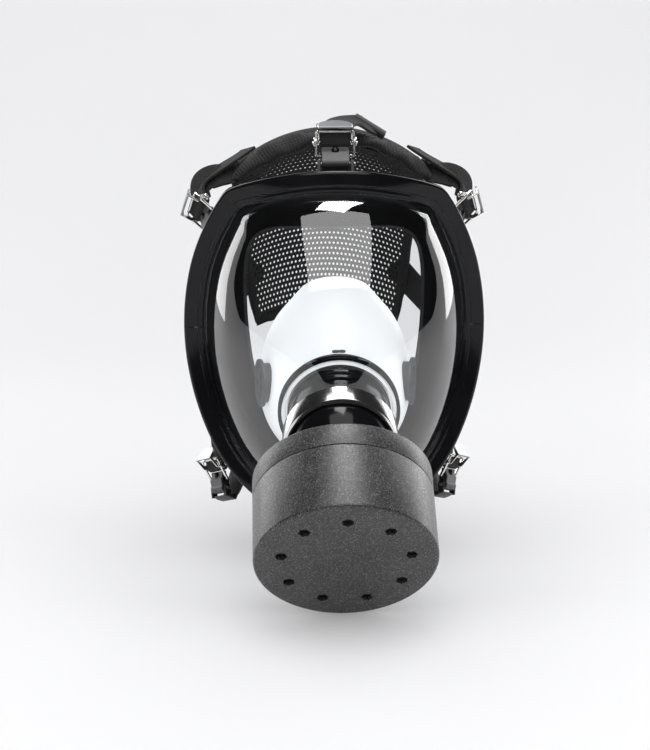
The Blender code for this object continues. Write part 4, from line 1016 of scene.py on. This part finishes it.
def make_anchor(kind, suffix, sign):
    anchor = SimpleNamespace(kind=kind, sign=sign, name=kind + suffix, **ANCHORS[kind])
    anchor.mount = anchor.name + "_buckle_assembly"
    for key in ("centre", "along", "out", "root", "root_across", "root_normal"):
        setattr(anchor, key, mirrored(getattr(anchor, key), sign))
    anchor.along = anchor.along.normalized()
    anchor.out = square_to(anchor.out, anchor.along)
    anchor.across = anchor.out.cross(anchor.along)
    anchor.place = axes(anchor.centre, anchor.along, anchor.across, anchor.out)
    anchor.shaft = anchor.place @ shift(SHAFT_X, 0, SHAFT_Z)
    return anchor


def lug_row(centre, across, half, normal):
    outline = fillet(rectangle(-half, half, LUG_HALF_THICK), 0.8)
    return [centre + across * x + normal * z for x, z in outline]


def build_lug(anchor):
    """A tapering rubber web with two ears that carry the bar."""
    along, across, out = anchor.along, anchor.across, anchor.out
    # each station: centre, direction across, half width, normal
    stations = [(anchor.root, towards(anchor.root_across, across), anchor.root_half,
                 towards(anchor.root_normal, out))]
    if anchor.kind == "cheek":
        stations.append((anchor.centre - along * 6.6 - out * 5.6, across, LUG_HALF, -along))
    stations.append((anchor.centre - along * 4.6, across, LUG_HALF, out))
    rows = []
    for start, end in zip(stations, stations[1:]):
        centre, side, half, normal = start
        end_centre, end_side, end_half, end_normal = end
        if anchor.kind == "cheek" and normal.dot(end_normal) < -0.2:
            end_normal = -end_normal  # keeps the web from twisting over
        for step in range(8):
            t = step / 8
            rows.append(lug_row(
                centre.lerp(end_centre, t), side.lerp(end_side, t).normalized(),
                half + (end_half - half) * t, normal.lerp(end_normal, t).normalized()))
    rows.append(lug_row(end_centre, end_side, end_half, end_normal))
    parts = [mesh_piece("web", *skin(rows, cap=True), RUBBER)]
    ear = fillet(rectangle(-5.6, 2.3, 1.9), [0.3, 1.6, 1.6, 0.3], 5)
    for low, high in both_sides(8.8, 11.0):
        parts.append(prism("ear", ear, low, high, anchor.place, RUBBER, bevel=0.4))
    finish(join(parts, anchor.name + "_lug"), "facepiece", "black_rubber", "face_blank")


def build_roller(anchor):
    """The bar, grooved along its middle."""
    groove_radius, points = 0.98, 23
    profile = [(0, -BAR_HALF), (BAR_RADIUS, -BAR_HALF)]
    for k in range(points):
        height = -TAB_HALF + 2 * TAB_HALF * k / (points - 1)
        profile.append((BAR_RADIUS if k % 2 else groove_radius, height))
    profile += [(BAR_RADIUS, BAR_HALF), (0, BAR_HALF)]
    roller = lathe(anchor.name + "_roller", fillet(profile, 0.12, 2, closed=False),
                   anchor.place @ AXIS_TO_Y, GREY, steps=32)
    finish(roller, "facepiece", "grey_metal", anchor.name + "_bar")


def build_tab(anchor):
    """The tab folded round the bar, with its domed rivet."""
    fold = [on_circle(3.2, math.radians(55 + 250 * k / 20)) for k in range(21)]
    outline = fold + [(5.6, -3.0), (8.6, -1.5), (10.8, -1.5), (10.8, 1.5), (8.6, 1.5), (5.6, 3.0)]
    tab = prism("tab", outline, -TAB_HALF, TAB_HALF, anchor.place, TAB, bevel=0.45)
    carve(tab, [drum(1.75, -20, 20, place @ AXIS_TO_Y, 28)
                for place in (anchor.place, anchor.place @ shift(HINGE_X, 0, 0))])
    dome_profile = [(0, 0.6), (2.3, 0.6), (2.3, 1.9), (1.9, 2.15), (1.3, 2.6), (0.6, 2.78), (0, 2.8)]
    dome = lathe("dome", fillet(dome_profile, 0.25, closed=False),
                 anchor.place @ shift(8.4, 0, 0.5), GLOSS, steps=40)
    finish(join([tab, dome], anchor.name + "_tab_piece"), anchor.mount, "black_tab",
           anchor.name + "_tab")


def buckle_plate(place):
    """A flat rounded frame with softened edges."""
    outer = fillet(rectangle(-0.85, 15.4, 12.4), 1.6, 5)
    inner = fillet(rectangle(0.85, 13.8, 10.6), 0.7, 5)
    half, soft = 0.75, 0.35
    # outline, inset, height
    levels = [
        (outer, soft, -half), (outer, 0, -half + soft), (outer, 0, half - soft),
        (outer, soft, half), (inner, -soft, half), (inner, 0, half - soft),
        (inner, 0, -half + soft), (inner, -soft, -half),
    ]
    rows = [[(x, y, z) for x, y in inset(outline, depth)] for outline, depth, z in levels]
    return mesh_piece("frame_plate", *skin(rows, closed_rows=True), STEEL, place=place)


def build_buckle(anchor):
    """The tilted frame, with two ears that hold the lever's shaft."""
    tilt = Matrix.Rotation(-BUCKLE_TILT, 4, "Y")
    parts = [buckle_plate(anchor.place @ shift(HINGE_X, 0, 0) @ tilt)]
    left, right = SHAFT_X - 1.9, SHAFT_X + 1.9
    outline = fillet([(left, -1.5), (right, -1.5), (right, 4.6), (left, 4.6)],
                     [1.4, 1.4, 1.7, 1.7], 5)
    for low, high in both_sides(10.9, 12.9):
        ear = prism("ear", outline, low, high, anchor.place, STEEL, bevel=0.3)
        carve(ear, [drum(1.25, -20, 20, anchor.shaft @ AXIS_TO_Y, 24)])
        parts.append(ear)
    finish(join(parts, anchor.name + "_frame"), anchor.mount, "polished_steel",
           anchor.name + "_buckle")


def build_lever(anchor):
    """The release lever: shaft, two arms and a D-shaped thumb plate."""
    shaft_profile = fillet([(0, -13.8), (0.85, -13.8), (0.85, 13.8), (0, 13.8)], 0.3, closed=False)
    parts = [lathe("shaft", shaft_profile, anchor.shaft @ AXIS_TO_Y, STEEL, steps=28)]
    arm = fillet([
        (-1.4, -1.2), (1.3, -1.2), (1.3, 4.2), (4.6, 7.9), (8.0, 6.5), (8.7, 7.6), (4.8, 9.9),
        (-1.4, 5.2),
    ], [1.0, 1.0, 0.6, 0.6, 0.3, 0.3, 0.8, 0.8])
    for low, high in both_sides(9.6, 10.4):
        parts.append(prism("arm", arm, low, high, anchor.shaft, STEEL, bevel=0.2))
    near, far, half, bow = 4.4, 8.4, 10.2, 6.0
    angles = [math.radians(-80 + 160 * k / 24) for k in range(25)]
    thumb = [(near, -half), (far, -half)]
    thumb += [(far + bow * math.cos(angle), half * math.sin(angle)) for angle in angles]
    thumb += [(far, half), (near, half)]
    # (height, inset)
    rows = [[(x, y, z) for x, y in inset(thumb, depth)]
            for z, depth in ((8.4, 0.3), (8.7, 0), (9.4, 0), (9.7, 0.3))]
    pivot_x, pivot_z = 5.5, 9.05
    dip = (anchor.shaft @ shift(pivot_x, 0, pivot_z) @ Matrix.Rotation(math.radians(35), 4, "Y")
           @ shift(-pivot_x, 0, -pivot_z))
    parts.append(mesh_piece("thumb", *skin(rows, cap=True), GREY, place=dip))
    finish(join(parts, anchor.name + "_release_lever"), anchor.name + "_release",
           "polished_steel", anchor.name + "_lever")


def web_strip(name, path, facings, ripple=0.0):
    """Webbing along a path that faces a given way at each point."""
    corners = fillet(rectangle(-WEB_WIDTH / 2, WEB_WIDTH / 2, WEB_THICK / 2), 0.5)
    section = []
    for k, corner in enumerate(corners):  # extra points across the flats, so they can ripple
        start, end = Vector(corner), Vector(corners[(k + 1) % len(corners)])
        section.append(tuple(start))
        if (end - start).length > 4:
            section += [tuple(start.lerp(end, t / 6)) for t in range(1, 6)]
    rows, uv = [], []
    for point, side, up, run in along_path(path, facings):
        row = []
        for x, z in section:
            flat = 1 - (2 * x / WEB_WIDTH) ** 2 * 0.4
            wave = ripple * math.sin(run * 0.12 + x * 0.16) * flat
            row.append(point + side * x + up * (z + wave))
            uv.append((x, run))
        rows.append(row)
    return mesh_piece(name, *skin(rows, cap=True), WEBBING, smooth=50, uv=uv)


def strap_path(anchor):
    """The free tail, the turn round the shaft and the run out to the net, with facings."""
    along, out = anchor.along, anchor.out
    wrap = 1.6 + WEB_THICK / 2
    tail_x, under = 20.0, SHAFT_Z - wrap
    path, facings = [], []

    def add(x, z, facing):
        path.append(anchor.place @ Vector((x, 0, z)))
        facings.append(facing)

    for k in range(8):
        t = k / 7
        add(tail_x - (tail_x - SHAFT_X) * t, SHAFT_Z + wrap + max(0.0, 1 - t * 1.4), out)
    for k in range(1, 13):
        angle = math.radians(90 + 180 * k / 12)
        cos, sin = math.cos(angle), math.sin(angle)
        add(SHAFT_X + wrap * cos, SHAFT_Z + wrap * sin, along * cos + out * sin)
    steps = max(2, int((anchor.reach - SHAFT_X) / 2.2))
    for k in range(1, steps + 1):
        add(SHAFT_X + (anchor.reach - SHAFT_X) * k / (steps + 1), under, -out)

    # a cubic curve to the head, pushed out wherever it would dip under the net
    lift = 2.2 + 1.4 + WEB_THICK / 2
    start = anchor.centre + along * (anchor.reach + 1.0) + out * under
    alpha, beta = (math.radians(angle) for angle in anchor.strap_end)
    end = head_point(alpha, anchor.sign * beta, lift)
    reach = (end - start).length
    arrival = square_to((end - start).normalized(), head_normal(end))
    leave = start + along * reach * anchor.lead + out * anchor.bulge
    arrive = end - arrival * reach * 0.33
    for k in range(26):
        t = k / 25
        point = (start * (1 - t) ** 3 + leave * 3 * t * (1 - t) ** 2
                 + arrive * 3 * t * t * (1 - t) + end * t ** 3)
        offset = point - HEAD
        height = math.sqrt(sum((offset[i] / (HEAD_RADII[i] + lift)) ** 2 for i in range(3)))
        if height < 1.0:
            point = HEAD + offset / height
        eased = t * t * (3 - 2 * t)
        path.append(point)
        facings.append(-(out.lerp(head_normal(point), eased).normalized()))
    return path, facings


def build_strap(anchor):
    name, reach = anchor.name, anchor.reach
    strap = web_strip(name + "_webbing", *strap_path(anchor))
    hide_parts(name + "_strap", name + "_strap_loop")
    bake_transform(strap)


for kind in ANCHORS:
    for suffix, sign in [("", 1)] if kind == "top" else [("_right", 1), ("_left", -1)]:
        anchor = make_anchor(kind, suffix, sign)
        build_lug(anchor)
        build_roller(anchor)
        build_tab(anchor)
        build_buckle(anchor)
        build_lever(anchor)
        build_strap(anchor)

# ------------------------------------------------------------------ head net
NET_ROWS, NET_COLUMNS = 62, 40
NET_THICKNESS = 1.1
HOLE_RADIUS = 0.56  # in half cells


def net_point(t, u, lift=0.0):
    """A point of the net: t from its front edge to its rear, u from -1 at -x to 1 at +x."""
    reach = math.radians(39 - 9 * t + 4 * math.sin(math.pi * t))
    alpha = math.radians(68 + 126 * t - 6 * (1 - t) * u * u + 8 * t * u * u)
    return head_point(alpha, reach * u, lift)


def build_net():
    """Staggered rows of square cells, each but the outermost with an eight-sided hole."""
    points, faces, index = [], [], {}

    def half_cell_point(column, row):
        return net_point(row / (2 * NET_ROWS), column / NET_COLUMNS - 1)

    def shared(column, row):
        if (column, row) not in index:
            index[column, row] = len(points)
            points.append(half_cell_point(column, row))
        return index[column, row]

    # steps round a cell and round the half cell at the end of a staggered row
    cell = [(0, 0), (1, 0), (2, 0), (2, 1), (2, 2), (1, 2), (0, 2), (0, 1)]
    half_cell = [(0, 0), (1, 0), (1, 1), (1, 2), (0, 2), (0, 1)]
    for row in range(NET_ROWS):
        odd = row % 2
        if odd:
            for column in (0, 2 * NET_COLUMNS - 1):
                faces.append([shared(column + x, 2 * row + y) for x, y in half_cell])
        for column in range(odd, 2 * NET_COLUMNS - odd, 2):
            edge = [shared(column + x, 2 * row + y) for x, y in cell]
            if row in (0, NET_ROWS - 1) or column < 2 or column > 2 * NET_COLUMNS - 4:
                faces.append(edge)
                continue
            first = len(points)
            for x, y in cell:
                scale = HOLE_RADIUS / math.hypot(x - 1, y - 1)
                points.append(half_cell_point(column + 1 + (x - 1) * scale,
                                              2 * row + 1 + (y - 1) * scale))
            for i in range(8):
                j = (i + 1) % 8
                faces.append((edge[i], edge[j], first + j, first + i))
    net = mesh_piece("net_sheet", points, faces, NET, smooth=60)
    thicken(net, NET_THICKNESS)
    bake(net)
    finish(net, "facepiece", "net", "head_net")


build_net()


# ------------------------------------------------------------------ padded hem of the net
def signed_power(value, power):
    return math.copysign(abs(value) ** power, value)


def hem(name, stations, facings, width, thick, wave, twist=0.0):
    """A stuffed band along an edge; wave varies its size and twist rolls it."""
    path, facings = curve_through(stations, 8), curve_through(facings, 8)
    count = 20
    rows, uv = [], []
    for k, (point, side, up, run) in enumerate(along_path(path, facings)):
        share = k / (len(path) - 1)
        taper = min(1.0, 0.35 + 6 * min(share, 1 - share))
        turn = twist * math.sin(run * 0.055) + 0.18 * math.sin(run * 0.31)
        cos, sin = math.cos(turn), math.sin(turn)
        swell = 1 + wave * math.sin(run * 0.21) + 0.5 * wave * math.sin(run * 0.53 + 1)
        half_width = width / 2 * swell * taper
        half_thick = thick / 2 * (1 + wave * math.sin(run * 0.37 + 2)) * taper
        row = []
        for i in range(count):
            angle = 2 * math.pi * i / count
            x = half_width * signed_power(math.cos(angle), 0.75)
            z = half_thick * signed_power(math.sin(angle), 0.85)
            z += 0.25 * math.sin(run * 1.9 + x * 0.7) * taper  # puckers
            row.append(point + side * (x * cos - z * sin) + up * (x * sin + z * cos))
            uv.append((width * i / count, run))
        rows.append(row)
    band = mesh_piece(name, *skin(rows, cap=True), HEM, smooth=60, uv=uv)
    finish(band, "facepiece", "webbing")


def edge_hem(name, places, lift, **sizes):
    """A hem lifted off the net, through (t, u) places."""
    hem(name, [net_point(t, u, lift) for t, u in places],
        [head_normal(net_point(t, u)) for t, u in places], **sizes)


front = [net_point(0.02, (-1 + 2 * k / 16) * 0.98, 2.2) for k in range(17)]
hem("net_front_hem", front, [head_normal(point) for point in front],
    width=15.0, thick=6.5, wave=0.10, twist=0.30)
for side, sign in (("right", 1), ("left", -1)):
    edge_hem(f"net_{side}_hem",
             [(t, sign * 0.985) for t in (0.0, 0.12, 0.25, 0.4, 0.55, 0.7, 0.85, 0.98)],
             lift=1.6, width=7.0, thick=3.4, wave=0.06)
edge_hem("net_rear_hem", [(0.985, -1 + 2 * k / 10) for k in range(11)],
         lift=1.4, width=8.0, thick=3.4, wave=0.05)


# ------------------------------------------------------------------ loose ends of webbing
def loose(name, stations, sign=1):
    """A free length of webbing through (point, facing) stations."""
    path, facings = (curve_through([mirrored(vector, sign) for vector in column], 7)
                     for column in zip(*stations))
    finish(web_strip(name, path, facings, ripple=0.25), "facepiece", "webbing")


# the top strap's free end lies back over the hem, turned towards +x
loose("top_tail", [
    ((1.5, 30.0, 122.0), (0, -0.45, 0.89)),
    ((4.5, 46.0, 124.8), (0.05, -0.25, 0.97)),
    ((11.0, 60.0, 125.0), (0.2, -0.2, 0.96)),
    ((19.5, 69.5, 122.8), (0.45, -0.3, 0.85)),
    ((23.5, 74.0, 121.4), (0.5, -0.35, 0.8)),
])
for side, sign, rise in (("right", 1, 1.0), ("left", -1, 1.25)):
    loose(f"temple_{side}_fold", [
        ((81.0, 64.0, 75.5), (0.86, -0.50, -0.05)),
        ((83.2, 65.5, 81.5), (0.80, -0.60, 0.20)),
        ((80.8, 67.0, 86.8 + rise), (0.48, -0.72, 0.55)),
        ((73.5, 69.0, 90.0 + rise), (0.15, -0.72, 0.68)),
        ((65.5, 72.5, 91.0 + rise), (0.10, -0.62, 0.78)),
        ((58.5, 76.5, 93.5), (0.2, -0.4, 0.9)),
    ], sign)

# a moulded bar ends the top strap's tail
bar_across = Vector((19.1, 0.0, -11.8)).normalized()
bar_up = square_to(Vector((0.45, -0.5, 0.75)), bar_across)
bar_outline = [(-3.0, -2.0), (3.0, -2.0), (3.0, 1.2), (1.8, 2.2), (-1.8, 2.2), (-3.0, 1.2)]
end_bar = prism("top_tail_bar", fillet(bar_outline, 0.6), -11.2, 11.2,
                axes((24.2, 75.0, 121.2), bar_up.cross(bar_across), bar_across, bar_up),
                TAB, bevel=0.5)
finish(end_bar, "facepiece", "black_tab")

# ------------------------------------------------------------------ finishes of the CAD nodes
FINISHES = {
    "gloss_black": GLOSS, "black_rubber": RUBBER, "clear_visor": LENS, "polished_steel": STEEL,
    "white_silicone": SILICONE, "valve_rubber": VALVE, "speckled_nylon": NYLON,
    "webbing": WEBBING, "net": NET, "filter_paper": PAPER, "carbon": CARBON,
    "grey_metal": GREY, "black_tab": TAB,
}
slots = {part["node"]: part["material_slot"] for part in frame["record"]["subparts"]}
for name, piece in frame["nodes"].items():
    piece.data.materials.clear()
    # the fleece takes the near-black painted-shade felt in place of its slot's finish
    piece.data.materials.append(FELT_PAINTED_SHADE if name == "dust_fleece" else FINISHES[slots[name]])
    if not piece.hide_render and piece.data.polygons:
        weld = piece.modifiers.new("weld", "WELD")
        weld.merge_threshold = 0.00001
        soft = piece.modifiers.new("soft_edges", "BEVEL")
        soft.width = 0.00015
        soft.segments = 2
        soft.limit_method = "ANGLE"
        soft.angle_limit = math.radians(50)

# ------------------------------------------------------------------ stage, in metres
scene = bpy.context.scene


def paper_material():
    material, tree, shader = new_material("studio_paper")
    colour = (0.86, 0.86, 0.865)
    lighter = [value * 1.01 for value in colour]
    drift = noise(tree, coords(tree), scale=1.2, detail=2)
    tree.links.new(ramp(tree, drift, (0.3, colour), (0.7, lighter)), shader.inputs["Base Color"])
    set_inputs(shader, {
        "Roughness": 0.7, "Emission Color": (1, 1, 1, 1), "Emission Strength": 0.12,
    })
    return material


def build_sweep():
    """A floor that curves up into a back wall."""
    half_width, front_y, back_y, radius, height = 3.2, -2.2, 1.6, 0.9, 2.6
    profile = [(front_y, 0.0), (back_y - radius, 0.0)]
    for k in range(1, 17):
        angle = math.pi / 2 * k / 16
        profile.append((back_y - radius + radius * math.sin(angle),
                        radius - radius * math.cos(angle)))
    profile.append((back_y, height))
    points = [(x, y, z) for y, z in profile for x in (-half_width, half_width)]
    faces = [(2 * k, 2 * k + 1, 2 * k + 3, 2 * k + 2) for k in range(len(profile) - 1)]
    mesh = bpy.data.meshes.new("studio_sweep")
    mesh.from_pydata(points, [], faces)
    mesh.materials.append(paper_material())
    mesh.shade_smooth()
    sweep = bpy.data.objects.new("studio_sweep", mesh)
    scene.collection.objects.link(sweep)


build_sweep()

# ------------------------------------------------------------------ lights
# name, place and aim in metres, width, height, power in watts
FILLS = [  # light the surfaces but are not seen in reflections
    ("fill_left", (-1.25, -0.65, 0.75), (0, 0, 0.12), 0.7, 1.2, 5.0),
    ("fill_right", (1.25, -0.65, 0.75), (0, 0, 0.12), 0.7, 1.2, 5.0),
    ("fill_top", (0.0, -0.3, 1.5), (0, 0.0, 0.12), 1.1, 0.9, 3.4),
]
CARDS = [  # are only seen in reflections
    ("card_left", (-0.92, 0.98, 0.42), (0, 0, 0.16), 0.75, 1.60, 11.0),
    ("card_right", (0.92, 0.98, 0.42), (0, 0, 0.16), 0.75, 1.60, 13.0),
    ("card_top", (0.03, -0.60, 1.04), (0, 0, 0.14), 0.92, 1.10, 7.5),
    ("card_over", (0.06, 0.14, 1.45), (0, 0, 0.12), 0.42, 0.60, 9.0),
]


def softbox(name, place, aim, width, height, power, is_card):
    light = bpy.data.lights.new(name, "AREA")
    light.shape = "RECTANGLE"
    light.size = width
    light.size_y = height
    light.energy = power
    lamp = bpy.data.objects.new(name, light)
    lamp.location = place
    lamp.rotation_euler = (Vector(aim) - Vector(place)).to_track_quat("-Z", "Y").to_euler()
    lamp.visible_camera = False
    scene.collection.objects.link(lamp)
    lamp.visible_diffuse = not is_card
    lamp.visible_glossy = is_card
    lamp.visible_transmission = is_card


for row in FILLS:
    softbox(*row, is_card=False)
for row in CARDS:
    softbox(*row, is_card=True)


def build_world():
    """A pale backdrop to the camera, a soft fill on surfaces, near black in reflections."""
    studio = bpy.data.worlds.new("studio")
    scene.world = studio
    studio.use_nodes = True
    tree = studio.node_tree
    tree.nodes.clear()
    output = node(tree, "ShaderNodeOutputWorld")
    paths = node(tree, "ShaderNodeLightPath")
    seen, fill, dark = (
        node(tree, "ShaderNodeBackground", Strength=strength, Color=colour)
        for strength, colour in ((1.0, (0.86, 0.86, 0.865, 1)), (0.72, (0.9, 0.9, 0.92, 1)),
                                 (1.0, (0.02, 0.02, 0.021, 1))))
    by_glossy = node(tree, "ShaderNodeMixShader")
    by_camera = node(tree, "ShaderNodeMixShader")
    for mix, ray, otherwise, chosen in ((by_glossy, "Is Glossy Ray", fill, dark),
                                        (by_camera, "Is Camera Ray", by_glossy, seen)):
        tree.links.new(paths.outputs[ray], mix.inputs[0])
        tree.links.new(otherwise.outputs[0], mix.inputs[1])
        tree.links.new(chosen.outputs[0], mix.inputs[2])
    tree.links.new(by_camera.outputs[0], output.inputs["Surface"])


def build_camera():
    azimuth, elevation, roll = (math.radians(angle) for angle in (-2.0, 11.7, -0.3))
    distance = 1.058
    lens = bpy.data.cameras.new("camera")
    camera = bpy.data.objects.new("camera", lens)
    scene.collection.objects.link(camera)
    lens.sensor_width = 36.0
    lens.lens = 83.76
    lens.clip_start = 0.01
    lens.clip_end = 50
    back = Vector((
        math.sin(azimuth) * math.cos(elevation),
        -math.cos(azimuth) * math.cos(elevation),
        math.sin(elevation),
    ))
    camera.location = world((-7.5, 0, -23.6)) + back * distance
    aim = (-back).to_track_quat("-Z", "Y").to_matrix().to_4x4()
    camera.rotation_euler = (aim @ Matrix.Rotation(roll, 4, "Z")).to_euler()
    scene.camera = camera


build_world()
build_camera()
scene.view_settings.view_transform = "Standard"
